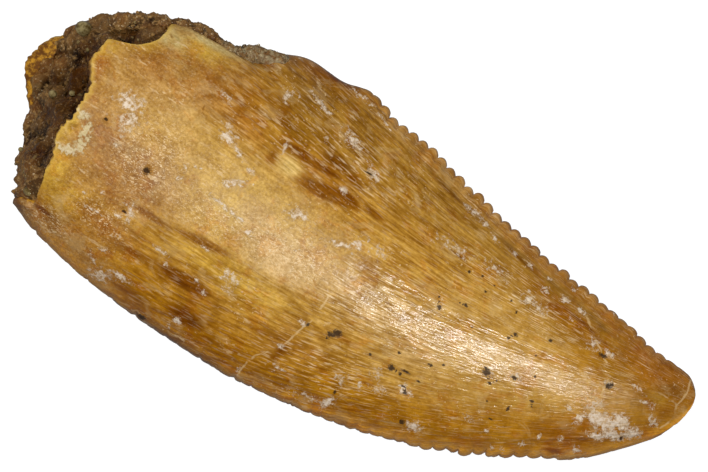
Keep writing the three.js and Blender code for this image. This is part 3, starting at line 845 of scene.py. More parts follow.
# Healed cracks, each a line of points.
CRACKS = [
    [(0.1, -1.2), (0.05, -1.8), (-0.1, -2.2), (-0.32, -2.85), (-0.75, -3.35), (-0.9, -3.55), (-1.0, -4.1)],
    [(6.35, 1.85), (6.75, 1.5), (7.2, 1.18), (7.5, 0.98), (7.68, 0.7), (7.72, 0.3)],
    [(9.1, 0.98), (9.4, 0.98), (9.66, 0.95), (9.76, 0.6), (9.6, 0.25)],
    [(9.66, 0.95), (9.76, 1.3), (9.7, 1.55)],
]


# What the cool sheen adds to every colour, and is taken off it beforehand.
SHEEN_VEIL = np.array([0.0, 0.003, 0.009])
DARKEST = 0.002
# How steeply a wash ends.
WASH_FALL = 2.6
# Where the front edge is worn dark: its middle and half its length.
WORN_FRONT = (-2.6, 2.6)
# Where the colours along the back edge are clean, and where they fade: x, from none to full.
CLEAN_FROM = (-2.2, -0.8)
CLEAN_UNTIL = (9.3, 8.3)
CLEAN_FADES = (1.5, 5)
CLEAN_AT_TIP = 0.25


def ellipse_gap(x, y, mark):
    """Distance from a mark's middle in units of its own size: 1 on its outline."""
    middle_x, middle_y, half_length, half_width, turn = mark[:5]
    turn = np.radians(turn)
    along = (x - middle_x) * np.cos(turn) + (y - middle_y) * np.sin(turn)
    across = (y - middle_y) * np.cos(turn) - (x - middle_x) * np.sin(turn)
    return np.hypot(along / half_length, across / half_width)


def mark_field(x, y, marks, grown=1.0):
    """Above 0 inside the marks and below it outside, for a shader to give a ragged outline."""
    field = np.full_like(x, -1.0)
    for mark in marks:
        field = np.maximum(field, mark[5] * (1 - ellipse_gap(x, y, mark) / grown))
    return field


def speck_places(x, y):
    """Each point's place on the nearest speck, in that speck's radii, and its distance from it."""
    place = np.full(x.shape + (3,), 9.0)
    for middle_x, middle_y, radius_x, radius_y in SPECKS:
        across = np.stack([(x - middle_x) / radius_x, (y - middle_y) / radius_y], -1)
        distance = np.hypot(x - middle_x, y - middle_y) - max(radius_x, radius_y)
        nearer = distance < place[..., 2]
        place[nearer, :2] = across[nearer]
        place[nearer, 2] = distance[nearer]
    return place


def crack_places(x, y):
    """Each point's signed distance to the nearest crack, and the same without its sign."""
    place = np.full(x.shape + (3,), 9.0)
    for crack in CRACKS:
        for (x0, y0), (x1, y1) in zip(crack, crack[1:]):
            length = np.hypot(x1 - x0, y1 - y0)
            along = np.clip(((x - x0) * (x1 - x0) + (y - y0) * (y1 - y0)) / length ** 2, 0, 1)
            side = ((x - x0) * (y1 - y0) - (y - y0) * (x1 - x0)) / length
            distance = np.hypot(x - mix(x0, x1, along), y - mix(y0, y1, along))
            nearer = distance < place[..., 1]
            place[nearer, 0] = side[nearer]
            place[nearer, 1] = distance[nearer]
    return place


def enamel_tint(x, y, front_gap, back_gap):
    """The enamel's own colour, with painted highlight along the crest, without its growth lines and marks.
    """
    tint = np.broadcast_to(HONEY, x.shape + (3,)).copy()

    def wash(colour, mask):
        tint[:] = mix(tint, colour, np.clip(mask, 0, 1)[..., None])

    def wash_edges(rows):
        """Each row: tone, strength, the gap to an edge, the gaps where it starts and is full, and a mask."""
        for colour, strength, gap, low, high, mask in rows:
            wash(colour, strength * smooth_step(gap, low, high) * mask)

    worn = bump_at(x, *WORN_FRONT)
    clean = smooth_step(x, *CLEAN_FROM) * smooth_step(x, *CLEAN_UNTIL)
    clean = clean * mix(1, CLEAN_AT_TIP, smooth_step(x, *CLEAN_FADES))
    wash_edges([
        (AMBER, 1, front_gap, 2.1, 0.9, 1),
        (DARK_AMBER, 0.75, front_gap, 0.9, 0.2, smooth_step(x, -6.5, -4.5)),
        (OLIVE, 1, back_gap, 2.0, 0.9, 1),
    ])
    for mark in WASHES:
        wash(mark[5], mark[6] * np.exp(-ellipse_gap(x, y, mark) ** WASH_FALL))
    wash_edges([
        (FRONT_LIGHT, 0.85, front_gap, 0.5, 0.1, smooth_step(x, -8.2, -6.5) * (1 - worn)),
        (UMBER, 0.5, front_gap, 0.3, 0.05, worn),
        (EDGE_BAND, 0.85, back_gap, 0.52, 0.42, clean),
        (EDGE_LIGHT, 0.8, back_gap, 0.24, 0.06, clean),
        (RUST, 0.45, back_gap, 0.5, 0.3, smooth_step(x, 1, 4.5)),
    ])
    grooved = bump_at(back_gap, 0.52, 0.09) * smooth_step(x, -1.5, 0.5) * smooth_step(x, 8.0, 6.5)
    wash(EDGE_GROOVE, 0.55 * grooved)
    return np.maximum(tint - SHEEN_VEIL, DARKEST)


# The crown: how finely it is divided, and the rings of its skin, its broken rim and its hollow.
UPPER_COLUMNS = 140
LOWER_COLUMNS = 84
TIP_RINGS = 20
TIP_RINGS_END_X = 9.52
TIP_CROWDING = 1.8
DENTICLE_COUNT = 38
DENTICLE_PHASES = [0.94, 0.85, 0.7, 0.5, 0.3, 0.15, 0.06, 0]
LAST_FULL_X = -7
BASE_RINGS = 72
LEANING_RINGS = 24
LIP_RINGS = 6
LIP_ROUND = 0.03
HOLLOW_RINGS = 12

# Small pits in the enamel: x, y, radius, depth.
PITS = [
    (-7.3, 0.14, 0.06, 0.12), (-5.7, -0.53, 0.09, 0.1), (-5.7, -1.78, 0.1, 0.08), (-7.95, -0.5, 0.12, 0.1),
    (-8.1, -2.26, 0.08, 0.1), (-6.9, 2.45, 0.05, 0.06), (-4.1, 3.3, 0.08, 0.06), (0.8, -1.85, 0.05, 0.02),
    (7.3, 1.1, 0.1, 0.05), (8.85, -0.55, 0.08, 0.05), (7.85, 0.5, 0.1, 0.04), (3.05, -2.2, 0.12, 0.02),
]


# The growth lines show away from this y, from this x on, and all over towards the tip: from none to full.
LINED_MIDDLE_Y = -0.2
LINED_OFF_MIDDLE = (0.5, 1.8)
LINED_OFF_BASE = (-6.2, -4.2)
LINED_ALL_OVER = (-1.5, 1.5)
LINED_LEAST = 0.25
# Their colours fade towards the tip.
STRIPED_FADES = (2, 5)
STRIPED_AT_TIP = 0.3
# Grit: its share at the base, where that starts and is full, and its share in the chalk.
GRITTY_SHARE = 0.7
GRITTY_AT_BASE = (-5, -7.5)
GRITTY_CHALK = 0.8
# How far the pale rim is drawn back at the front edge.
RIM_DRAWN_BACK = 0.5
GLINTS_AND_SCRATCHES_ALL_OVER = 0.25
GLINTS_AND_SCRATCHES_LEAST = 0.2
FLAKE_SHARE = 0.8


def crown_stations():
    from_tip = (np.arange(1, TIP_RINGS + 1) / TIP_RINGS) ** TIP_CROWDING
    tip = TIP_X - (TIP_X - TIP_RINGS_END_X) * from_tip
    denticles = np.arange(DENTICLE_COUNT - 1, -1, -1)[:, None] + np.array(DENTICLE_PHASES)
    serrated = DENTICLE_START_X + denticles.ravel() * DENTICLE_PITCH
    base = np.linspace(DENTICLE_START_X, LAST_FULL_X, BASE_RINGS + 1)[1:]
    return np.concatenate([tip, serrated, base])


def crown_values(x, w, face, front_gap, back_gap, y):
    """What the crown's trees and its finish read at each point."""
    across = (y - front_growth(x)) / (back_growth(x) - front_growth(x))
    lined = smooth_step(np.abs(y - LINED_MIDDLE_Y), *LINED_OFF_MIDDLE) * smooth_step(x, *LINED_OFF_BASE)
    lined = np.clip(lined + smooth_step(x, *LINED_ALL_OVER), LINED_LEAST, 1)
    pit = sum(depth * bump_at(np.hypot(x - px, y - py), 0, radius) for px, py, radius, depth in PITS)
    chalk = mark_field(x, y, CHALK, CHALK_GROWN)
    return {
        "along": x,
        "front_gap": front_gap,
        "back_gap": back_gap,
        "front_left": front_denticles(x),
        "back_left": back_denticles(x),
        "strand": np.stack([across, x, np.full_like(x, face["side"])], -1),
        "lined": lined,
        "striped": lined * mix(1, STRIPED_AT_TIP, smooth_step(x, *STRIPED_FADES)),
        "gritty": GRITTY_SHARE * smooth_step(x, *GRITTY_AT_BASE) + GRITTY_CHALK * np.clip(chalk, 0, 1),
        "pit": pit,
        "rim_gap": x - rim_x(w, face) + RIM_DRAWN_BACK * bump_at(w, 0, EDGE_SHARE),
        "tint": enamel_tint(x, y, front_gap, back_gap),
        "chalk": chalk,
        "stain": mark_field(x, y, STAINS, STAINS_GROWN),
        "glints_and_scratches": np.clip(mark_field(x, y, GLINTS_AND_SCRATCHES) + GLINTS_AND_SCRATCHES_ALL_OVER, GLINTS_AND_SCRATCHES_LEAST, 1),
        "flake": FLAKE_SHARE * bump_at(np.hypot(x - FLAKE[0], y - FLAKE[1]), 0, FLAKE[2]),
        "speck": speck_places(x, y),
        "crack": crack_places(x, y),
    }


def make_crown():
    full = crown_stations()[:, None]
    lip = np.linspace(0, 1, LIP_RINGS + 1)[1:, None]
    wall = np.sin(np.linspace(0, np.pi / 2, HOLLOW_RINGS + 1))[1:-1, None]
    lean = np.linspace(0, 1, LEANING_RINGS + 1)[1:, None]
    points = []
    values = []
    for face, w in round_columns(UPPER_COLUMNS, LOWER_COLUMNS):
        rim = rim_x(w, face)
        whole = hollow_share(w)
        x = np.concatenate([full + 0 * w, mix(LAST_FULL_X, rim, lean), rim - LIP_ROUND * np.sin(np.pi * lip),
                            mix(rim, HOLLOW_END_X, wall)])
        share = np.concatenate([np.ones_like(full) + 0 * w, np.ones_like(lean) + 0 * w, mix(1, whole, lip),
                                whole * np.sqrt(1 - wall ** 2)])
        skin_points, front_gap, back_gap = skin(x, w, face)
        points.append(inside(x, w, face, share[..., None]))
        row = crown_values(x, w, face, front_gap, back_gap, skin_points[..., 1])
        row["depth"] = 1 - share
        values.append(row)
    upper, lower = values
    joined = {key: np.concatenate([upper[key], lower[key]], axis=1) for key in upper}
    tip = skin(np.array(TIP_X), np.array(0.5), UPPER_FACE)[0] * (1, 1, 0) + (0, 0, edge_height(TIP_X))
    rings = np.concatenate(points, axis=1)
    crown = closed_rings("enamel_crown", tip, rings, middle_at(HOLLOW_END_X), joined)
    grow(crown, denticle_tree(), pitch=DENTICLE_PITCH, first_notch=DENTICLE_START_X, height=DENTICLE_HEIGHT,
         reach=DENTICLE_REACH, slant=0.25, groove=0.035, band_groove=0.012, unevenness=1.1, seed=3,
         material=enamel)
    grow(crown, enamel_relief_tree(), line_count=24.0, line_height=0.03, wrinkle_size=0.9,
         wrinkle_height=0.04, grit_height=0.03, chip_depth=0.07, material=enamel)
    return crown


# Finishes. A shader's place is in millimetres, in the tooth's own frame.
def own_place(tree):
    place = tree.nodes.new("ShaderNodeTexCoord").outputs["Object"]
    return stretched(tree, place, (1 / MM, 1 / MM, 1 / MM))


def told(tree, key, output="Fac"):
    """A number or a vector that is stored with the mesh."""
    return in_use(add(tree, "ShaderNodeAttribute", attribute_name=key).outputs, output)


def blend(tree, mask, under, over, way="MIX"):
    node = add(tree, "ShaderNodeMix", data_type="RGBA", blend_type=way)
    for title, value in (("Factor", mask), ("A", under), ("B", over)):
        value = (*value, 1.0) if isinstance(value, (tuple, np.ndarray)) else value
        put(in_use(node.inputs, title), value)
    return in_use(node.outputs, "Result")


def coats(tree, colour, rows):
    """Lays coats over a colour, the lowest first. Each row: mask, strength, tone and the way it is mixed."""
    for mask, strength, over, way in rows:
        colour = blend(tree, times(tree, mask, strength), colour, over, way)
    return colour


def mineral_mottle_group():
    """Cloudy blotches, and grains of one size, from a place in millimetres."""
    tree, start, end = new_group("ShaderNodeTree", "mineral_mottle", {
        "Place": "Vector", "Blotch Size": 0.8, "Grain Size": 0.1,
    }, {"Blotches": "Float", "Grains": "Float", "Cells": "Float"})
    put(end["Blotches"], noise(tree, start["Place"], one_over(tree, start["Blotch Size"]), 4.0, 0.6))
    per_grain = one_over(tree, start["Grain Size"])
    put(end["Grains"], noise(tree, start["Place"], per_grain, 3.0, 0.65))
    cells = add(tree, "ShaderNodeTexVoronoi", {"Vector": start["Place"], "Scale": per_grain})
    put(end["Cells"], cells.outputs["Color"])
    return tree


def ragged_mask_group():
    """Turns a field that is above 0 inside a mark into a mask with a ragged outline."""
    tree, start, end = new_group("ShaderNodeTree", "ragged_mask", {
        "Field": 0.0, "Noise": 0.5, "Raggedness": 1.0, "Softness": 0.2,
    }, {"Mask": "Float"})
    shift = times(tree, from_half(tree, start["Noise"]), start["Raggedness"])
    put(end["Mask"], ramp(tree, calc(tree, "ADD", start["Field"], shift), 0.0, start["Softness"]))
    return tree


mineral_mottle = mineral_mottle_group()
ragged_mask = ragged_mask_group()


def use_group(tree, group, **values):
    """Places a node group, with its inputs set by their titles in lower case."""
    node = add(tree, "ShaderNodeGroup", node_tree=group)
    for socket in node.inputs:
        put(socket, values.get(socket.name.replace(" ", "_").lower()))
    return node.outputs


def new_finish(name, roughness, ior, **settings):
    material = bpy.data.materials.new(name)
    material.use_nodes = True
    shader = material.node_tree.nodes["Principled BSDF"]
    for title, value in {"Roughness": roughness, "IOR": ior, **settings}.items():
        shader.inputs[title].default_value = value
    return material, material.node_tree, shader


def relief(tree, height, distance_mm, under=None):
    """A surface normal bent by a height."""
    node = add(tree, "ShaderNodeBump", {"Height": height, "Distance": distance_mm * MM, "Normal": under})
    return node.outputs[0]


STAIN_DIM = (0.5, 0.35, 0.08)
IRON_DIM = (0.9, 0.64, 0.26)
MILKY_TONE = tone(216, 184, 124)
CHALK_TONE = tone(240, 224, 204)
CHALK_SHADE = tone(206, 174, 132)
FLAKE_TONE = tone(208, 192, 134)
SPECK_TONE = tone(54, 32, 5)
CRACK_TONE = tone(226, 192, 136)
DUST_AND_GLINT_TONE = tone(232, 200, 150)
# Pale scratches and painted glints.
SCRATCH_AND_GLINT_TONE = tone(250, 222, 176)
SCRATCH_DIM = (0.62, 0.5, 0.3)
RIM_TONE = tone(218, 178, 76)
BONE_TONE = tone(196, 140, 36)
BONE_SHADE = tone(110, 66, 18)


def enamel_finish():
    material, tree, shader = new_finish("fossil_enamel", 0.32, 1.58)
    place = own_place(tree)
    strand = told(tree, "strand", "Vector")
    fine_lines = noise(tree, stretched(tree, strand, (110, 1.2, 1)), 1.0, 3.0, 0.6)
    broad_lines = noise(tree, stretched(tree, strand, (28, 0.25, 1)), 1.0, 3.0, 0.55)
    lined = told(tree, "lined")
    striped = told(tree, "striped")
    frosted = less(tree, lined)
    grainy = plus(tree, 0.5, times(tree, frosted, 0.6))
    mottle = use_group(tree, mineral_mottle, place=place, blotch_size=0.5, grain_size=0.085)
    blotches, grains, cells = (mottle[title] for title in ("Blotches", "Grains", "Cells"))

    colour = told(tree, "tint", "Vector")
    for value, low, high, dark, light, share in (
        (broad_lines, 0.3, 0.7, (0.84, 0.78, 0.56), (1.1, 1.14, 1.24), striped),
        (blotches, 0.32, 0.68, (0.82, 0.76, 0.6), (1.14, 1.16, 1.26), 1.0),
        (fine_lines, 0.35, 0.65, (0.72, 0.64, 0.44), (1.16, 1.2, 1.34), striped),
        (grains, 0.34, 0.66, (0.82, 0.76, 0.62), (1.16, 1.2, 1.3), grainy),
    ):
        factor = blend(tree, ramp(tree, value, low, high), dark, light)
        colour = blend(tree, share, colour, factor, "MULTIPLY")
    iron = patches(tree, place, 0.52, 0.64, scale=1.5, detail=5.0, roughness=0.65, distortion=0.6)
    milky_place = stretched(tree, place, (0.8, 1.2, 1.2))
    milky = patches(tree, milky_place, 0.53, 0.62, scale=1.3, detail=5.0, roughness=0.7, distortion=0.8)

    def mask(field, noise_value, raggedness, softness):
        return use_group(tree, ragged_mask, field=field, noise=noise_value, raggedness=raggedness,
                         softness=softness)["Mask"]

    brushed = plus(tree, times(tree, broad_lines, 0.5), times(tree, fine_lines, 0.2),
                   times(tree, blotches, 0.3))
    stain = mask(told(tree, "stain"), brushed, 2.6, 0.65)
    crumbs = noise(tree, place, 8.0, 5.0, 0.75)
    chalk = mask(told(tree, "chalk"), crumbs, 5.5, 0.8)
    chalk_colour = blend(tree, ramp(tree, grains, 0.35, 0.6), CHALK_SHADE, CHALK_TONE)
    chalk_colour = blend(tree, told(tree, "flake"), chalk_colour, FLAKE_TONE)

    # Flecks of pale dust strung along the growth lines, and pale dots: partly real dust, partly painted
    # glints.
    fleck_place = stretched(tree, strand, (70, 1.6, 1))
    flecks = patches(tree, fleck_place, 0.58, 0.66, scale=1.0, detail=3.0, roughness=0.7)
    dust_and_glint_cover = ramp(tree, noise(tree, place, 0.8, 3.0), 0.42, 0.62, 0.15, 1.0)
    glint_dots = patches(tree, place, 0.64, 0.7, scale=11.0, detail=2.0, roughness=0.6)
    dust_and_glints = times(tree, calc(tree, "MAXIMUM", flecks, glint_dots), dust_and_glint_cover)
    # Short bright scratches, partly painted glints, beside dark ones, along the growth lines and, near the
    # base, across each other.
    lengthwise = noise(tree, stretched(tree, strand, (220, 2.6, 1)), 1.0, 1.0, 0.4)
    crosswise = noise(tree, stretched(tree, place, (11.0, 22.0, 11.0)), 1.0, 1.0, 0.4, 1.6)
    scratches = blend(tree, ramp(tree, lined, 0.3, 0.6), crosswise, lengthwise)
    glints_and_scratches = told(tree, "glints_and_scratches")
    shade = plus(tree, 0.25, times(tree, lined, 0.45))
    shaded = times(tree, ramp(tree, scratches, 0.46, 0.3), glints_and_scratches, shade)
    bright_glints = times(tree, ramp(tree, scratches, 0.56, 0.68), glints_and_scratches)

    crack = add(tree, "ShaderNodeSeparateXYZ", {0: told(tree, "crack", "Vector")}).outputs
    wander = times(tree, from_half(tree, noise(tree, place, 4.0, 3.0)), 0.14)
    from_crack = calc(tree, "ABSOLUTE", calc(tree, "ADD", crack[0], wander))
    beside = ramp(tree, crack[1], 0.12, 0.2, 1.0, 0.0)
    broken = patches(tree, place, 0.42, 0.56, scale=2.6, detail=2.0)
    crack_line = times(tree, ramp(tree, from_crack, 0.012, 0.035, 1.0, 0.0), beside, broken)

    speck = add(tree, "ShaderNodeSeparateXYZ", {0: told(tree, "speck", "Vector")}).outputs
    squares = [calc(tree, "POWER", part, 2.0) for part in speck[:2]]
    across = calc(tree, "SQRT", plus(tree, *squares))
    ragged = plus(tree, across, times(tree, from_half(tree, noise(tree, place, 24.0, 3.0, 0.7)), 3.6))
    near = ramp(tree, speck[2], 0.06, 0.1, 1.0, 0.0)
    black = times(tree, ramp(tree, ragged, 0.8, 1.6, 1.0, 0.0), near)

    rim_gap = plus(tree, told(tree, "rim_gap"), times(tree, crumbs, 0.2))
    rim = ramp(tree, rim_gap, 0.1, 0.26, 1.0, 0.0)
    within = ramp(tree, told(tree, "depth"), 0.02, 0.06)
    bone = blend(tree, ramp(tree, plus(tree, blotches, crumbs), 0.85, 1.15), BONE_SHADE, BONE_TONE)
    colour = coats(tree, colour, [
        (iron, 0.55, IRON_DIM, "MULTIPLY"),
        (milky, 0.22, MILKY_TONE, "MIX"),
        (stain, 0.95, STAIN_DIM, "MULTIPLY"),
        (chalk, 0.86, chalk_colour, "MIX"),
        # Pale dust and painted glints.
        (dust_and_glints, 0.6, DUST_AND_GLINT_TONE, "MIX"),
        (shaded, 1.0, SCRATCH_DIM, "MULTIPLY"),
        # Bright scratches: pale scratches and painted glints.
        (bright_glints, 0.75, SCRATCH_AND_GLINT_TONE, "MIX"),
        (crack_line, 0.6, CRACK_TONE, "MIX"),
        (black, 0.92, SPECK_TONE, "MIX"),
        (rim, 0.6, RIM_TONE, "MIX"),
        (within, 1.0, bone, "MIX"),
    ])
    put(shader.inputs["Base Color"], colour)

    polished = patches(tree, place, 0.58, 0.68, scale=9.0, detail=1.0)
    matte = times(tree, frosted, calc(tree, "SUBTRACT", 0.32, times(tree, polished, 0.2)))
    rough = plus(tree, 0.11, times(tree, grains, 0.1), matte)
    rough = plus(tree, rough, times(tree, chalk, 0.3), times(tree, within, 0.2), times(tree, black, 0.4))
    put(shader.inputs["Roughness"], rough)

    # Ridges and facets wide enough to be seen one by one give the glints.
    ridges = noise(tree, stretched(tree, strand, (110, 3.2, 1)), 1.0, 1.0, 0.4)
    facets = noise(tree, place, 14.0, 1.0, 0.4)
    normal = relief(tree, times(tree, broad_lines, lined), 0.024)
    normal = relief(tree, times(tree, ridges, calc(tree, "ADD", 0.2, lined)), 0.009, normal)
    normal = relief(tree, facets, 0.004, normal)
    normal = relief(tree, times(tree, chalk, crumbs), 0.012, normal)
    put(shader.inputs["Normal"], relief(tree, cells, 0.002, normal))
    return material


SAND_DARK = tone(32, 17, 6)
SAND_BROWN = tone(118, 84, 42)
SAND_LIGHT = tone(172, 134, 80)
SAND_WARM = tone(124, 72, 18)
GREYED_TONE = tone(150, 142, 112)
QUARTZ = tone(150, 134, 90)
QUARTZ_SMOKE = tone(86, 68, 34)
SPARKLE_TONE = tone(214, 188, 148)
# Painted shade for the glossy places beside the rim.
PAINTED_SHADE_DIM = (0.26, 0.18, 0.1)


def sandstone_finish():
    material, tree, shader = new_finish("cemented_sand", 0.6, 1.55)
    place = own_place(tree)
    mottle = use_group(tree, mineral_mottle, place=place, blotch_size=0.9, grain_size=0.12)
    # Painted shade: dark in the hollows, brown on the tops of the lumps.
    colour = blend(tree, ramp(tree, told(tree, "raised"), -0.24, 0.28), SAND_DARK, SAND_BROWN)
    grain = told(tree, "grain")
    is_grain = ramp(tree, grain, 0.01, 0.04)
    grain_colour = blend(tree, ramp(tree, grain, 0.1, 0.9), SAND_DARK, SAND_LIGHT)
    grain_colour = blend(tree, ramp(tree, grain, 0.9, 0.92), grain_colour, QUARTZ)
    bleached = times(tree, told(tree, "greyed"), ramp(tree, mottle["Grains"], 0.42, 0.62, 0.05, 0.6))
    # Pale dots painted as glints.
    sparkle = patches(tree, place, 0.66, 0.71, scale=15.0, detail=1.0)
    damp = told(tree, "damp")
    # Painted shade in the glossy places, less on the grains.
    shaded_sand = times(tree, damp, less(tree, times(tree, is_grain, 0.4)))
    colour = coats(tree, colour, [
        (ramp(tree, mottle["Blotches"], 0.45, 0.65), 0.5, SAND_WARM, "MIX"),
        (ramp(tree, mottle["Grains"], 0.48, 0.7), 0.8, SAND_LIGHT, "MIX"),
        (ramp(tree, mottle["Cells"], 0.8, 0.9), 0.5, SAND_LIGHT, "MIX"),
        (is_grain, 0.6, grain_colour, "MIX"),
        (bleached, 1.0, GREYED_TONE, "MIX"),
        (sparkle, 0.6, SPARKLE_TONE, "MIX"),
        (shaded_sand, 1.0, PAINTED_SHADE_DIM, "MULTIPLY"),
    ])
    put(shader.inputs["Base Color"], colour)
    glassy = calc(tree, "MAXIMUM", ramp(tree, grain, 0.6, 0.7), damp)
    put(shader.inputs["Roughness"], calc(tree, "SUBTRACT", 0.36, times(tree, glassy, 0.24)))
    put(shader.inputs["Normal"], relief(tree, mottle["Grains"], 0.07, relief(tree, mottle["Cells"], 0.04)))
    return material


def quartz_finish():
    material, tree, shader = new_finish("smoky_quartz", 0.08, 1.55)
    cloudy = noise(tree, own_place(tree), 7.0, 3.0, 0.6)
    put(shader.inputs["Base Color"], blend(tree, ramp(tree, cloudy, 0.35, 0.65), QUARTZ_SMOKE, QUARTZ))
    put(shader.inputs["Normal"], relief(tree, cloudy, 0.05))
    return material


enamel = enamel_finish()
quartz = quartz_finish()
sandstone = sandstone_finish()


# The sandstone in the hollow.
FILL_COLUMNS = (150, 130)
FILL_TIGHTNESS = 0.005
FILL_WALL = [0.95, 0.85, 0.7, 0.5, 0.35, 0.22, 0.12, 0.05, 0.02]
FILL_START_X = -3.8
FACE_RINGS = 100
UPPER_OVERFLOW = [(0, 0.04), (0.08, 0.02), (0.14, 0), (0.92, 0), (1, 0.1)]
LOWER_OVERFLOW = [(0, 0.04), (0.12, 0.08), (0.2, 0), (0.66, 0), (0.8, 0.14), (0.9, 0.21), (1, 0.1)]
# The glossy part beside the upper rim, darkened with painted shade: its middle and half its width in shares
# of the face's width, and the gaps to the rim where it starts and is full.
SHADED_GLOSSY_BAND = {"across": 0.56, "half": 0.28, "reach": 0.95, "full": 0.45}
# More glossy places darkened with painted shade: x, y and reach.
SHADED_GLOSSY_PLACES = [
    (-7.75, 2.3, 0.5), (-8.5, 1.6, 0.35), (-9.0, 0.4, 0.3), (-8.35, -1.5, 0.42), (-8.75, -0.5, 0.3),
]
upper_overflow = line_through(UPPER_OVERFLOW)
lower_overflow = line_through(LOWER_OVERFLOW)


def face_share(y):
    """The share of the broken face's width at y, from the front edge (0) to the back edge (1)."""
    front, back, _ = edges(FACE_X)
    return (y - front) / (back - front)


def broken_face_x(y, z):
    across = face_share(y)
    up = np.clip(0.5 + (z - edge_height(FACE_X)) / FACE_HEIGHT, 0, 1)
    pit = FACE_PIT["depth"] * bump_at(across, FACE_PIT["at"], FACE_PIT["half"]) * np.sin(np.pi * up)
    lower = lower_rim(across) - face_overhang(across)
    upper = upper_rim(across) + face_recess(across)
    return mix(lower, upper, up) + pit


def make_fill():
    columns = round_columns(*FILL_COLUMNS)
    rings = []
    bare = []
    for step in FILL_WALL:

        def wall(w, face):
            share = (hollow_share(w) + FILL_TIGHTNESS) * np.sqrt(1 - step * step)
            return inside(mix(rim_x(w, face), FILL_START_X, step), w, face, share[:, None])

        rings.append(round_ring(columns, wall))
        bare.append(0.0)
    for step in np.linspace(1, 0, FACE_RINGS, endpoint=False):

        def face_ring(w, face):
            overflow = upper_overflow if face is UPPER_FACE else lower_overflow
            share = (hollow_share(w) + FILL_TIGHTNESS + overflow(w)) * step
            points = inside(np.full_like(w, FACE_X), w, face, share[:, None])
            points[:, 0] = broken_face_x(points[:, 1], points[:, 2])
            return points

        rings.append(round_ring(columns, face_ring))
        bare.append(float(step < 1))
    middle = middle_at(FACE_X)
    middle[0] = broken_face_x(middle[1], middle[2])
    around = sum(FILL_COLUMNS)
    x, y, z = np.array(rings).reshape(-1, 3).T
    across = face_share(y)
    from_rim = upper_rim(across) - x
    # Glossy places beside the rim that also get painted shade.
    damp = bump_at(across, SHADED_GLOSSY_BAND["across"], SHADED_GLOSSY_BAND["half"]) * smooth_step(from_rim, SHADED_GLOSSY_BAND["reach"], SHADED_GLOSSY_BAND["full"])
    for shaded_x, shaded_y, reach in SHADED_GLOSSY_PLACES:
        damp = np.maximum(damp, bump_at(np.hypot(x - shaded_x, y - shaded_y), 0, reach))
    values = {"bare": np.repeat(bare, around), "damp": damp}
    fill = closed_rings("sandstone_fill", middle_at(FILL_START_X), rings, middle, values)
    grow(fill, sandstone_tree(), lump_size=0.7, lump_height=0.26, crumb_size=0.24, crumb_height=0.13,
         grains_per_mm2=12.0, smallest=0.02, largest=0.1, seed=4, material=sandstone)
    return fill


# The crust on the chipped stretch of the back edge and round the corner of the base: x, y, z and radius.
CRUST_PATH = [
    (-3.4, 3.9, 2.1, 0.05), (-3.7, 3.8, 2.24, 0.16), (-4.3, 3.6, 2.32, 0.28), (-5, 3.4, 2.32, 0.26),
    (-5.5, 3.36, 2.3, 0.18), (-6.1, 3.4, 2.25, 0.15), (-6.6, 3.32, 2.4, 0.15), (-7.1, 3.17, 2.55, 0.19),
    (-7.6, 2.9, 2.55, 0.22), (-8.1, 2.66, 2.3, 0.26), (-8.6, 2.4, 2.1, 0.2),
]
CRUST_RINGS = 150
CRUST_AROUND = 40
CRUST_RISE = 1.25
CRUST_BLUNTNESS = 12
# Where the crust is bleached: x, from none to full.
CRUST_GREYED = (-5.9, -5.3)


def make_crust():
    turn = 2 * np.pi * np.arange(CRUST_AROUND) / CRUST_AROUND
    steps = np.arange(len(CRUST_PATH))
    lines = [line_through([*zip(steps, column)]) for column in zip(*CRUST_PATH)]
    rings = []
    for step in np.linspace(0, steps[-1], CRUST_RINGS + 2)[1:-1]:
        x, y, z, radius = (line(step) for line in lines)
        ahead = [line(step + 0.01) - line(step - 0.01) for line in lines[:2]]
        side = np.array([ahead[1], -ahead[0]]) / np.hypot(*ahead)
        radius *= np.sqrt(1 - (2 * step / steps[-1] - 1) ** CRUST_BLUNTNESS)
        out = -radius * np.cos(turn)
        up = CRUST_RISE * radius * np.sin(turn)
        rings.append(np.stack([x + side[0] * out, y + side[1] * out, z + up], -1))
    ends = [np.array(CRUST_PATH[end][:3]) for end in (0, -1)]
    x = np.array(rings)[..., 0].ravel()
    values = {"bare": np.ones_like(x), "greyed": smooth_step(x, *CRUST_GREYED)}
    strip = closed_rings("edge_crust", ends[0], rings, ends[1], values)
    grow(strip, sandstone_tree(), lump_size=0.5, lump_height=0.12, crumb_size=0.16, crumb_height=0.1,
         grains_per_mm2=30.0, smallest=0.02, largest=0.07, seed=9, material=sandstone)
    return strip


# Glassy sand grains on the broken face: x, y, radius and squash.
QUARTZ_BEADS = [
    (-9.08, 1.95, 0.26, 0.8), (-8.95, 0.02, 0.13, 0.9), (-8.5, 0.29, 0.09, 0.9), (-8.2, -2.55, 0.15, 0.8),
    (-8.72, 1.5, 0.06, 1.0), (-9.0, -1.7, 0.08, 0.9),
]
BEAD_SUNK = 0.3
# The part of a bead's radius that rests on its bed.
BEAD_FOOT = 0.6


def make_beads(bed):
    """Beads that sit on top of a piece."""
    points = np.empty(len(bed.data.vertices) * 3, np.float32)
    bed.data.vertices.foreach_get("co", points)
    points = points.reshape(-1, 3) / MM
    shape = bmesh.new()
    for x, y, radius, squash in QUARTZ_BEADS:
        near = np.hypot(points[:, 0] - x, points[:, 1] - y) < BEAD_FOOT * radius
        place = Vector((x, y, float(points[near, 2].max()) - BEAD_SUNK * radius)) * MM
        bead = bmesh.ops.create_icosphere(shape, subdivisions=3, radius=radius * MM)["verts"]
        bmesh.ops.scale(shape, vec=(1, squash, squash), verts=bead)
        bmesh.ops.translate(shape, vec=place, verts=bead)
    mesh = bpy.data.meshes.new("quartz_beads")
    shape.to_mesh(mesh)
    shape.free()
    mesh.shade_smooth()
    mesh.materials.append(quartz)
    return into_scene("quartz_beads", mesh)


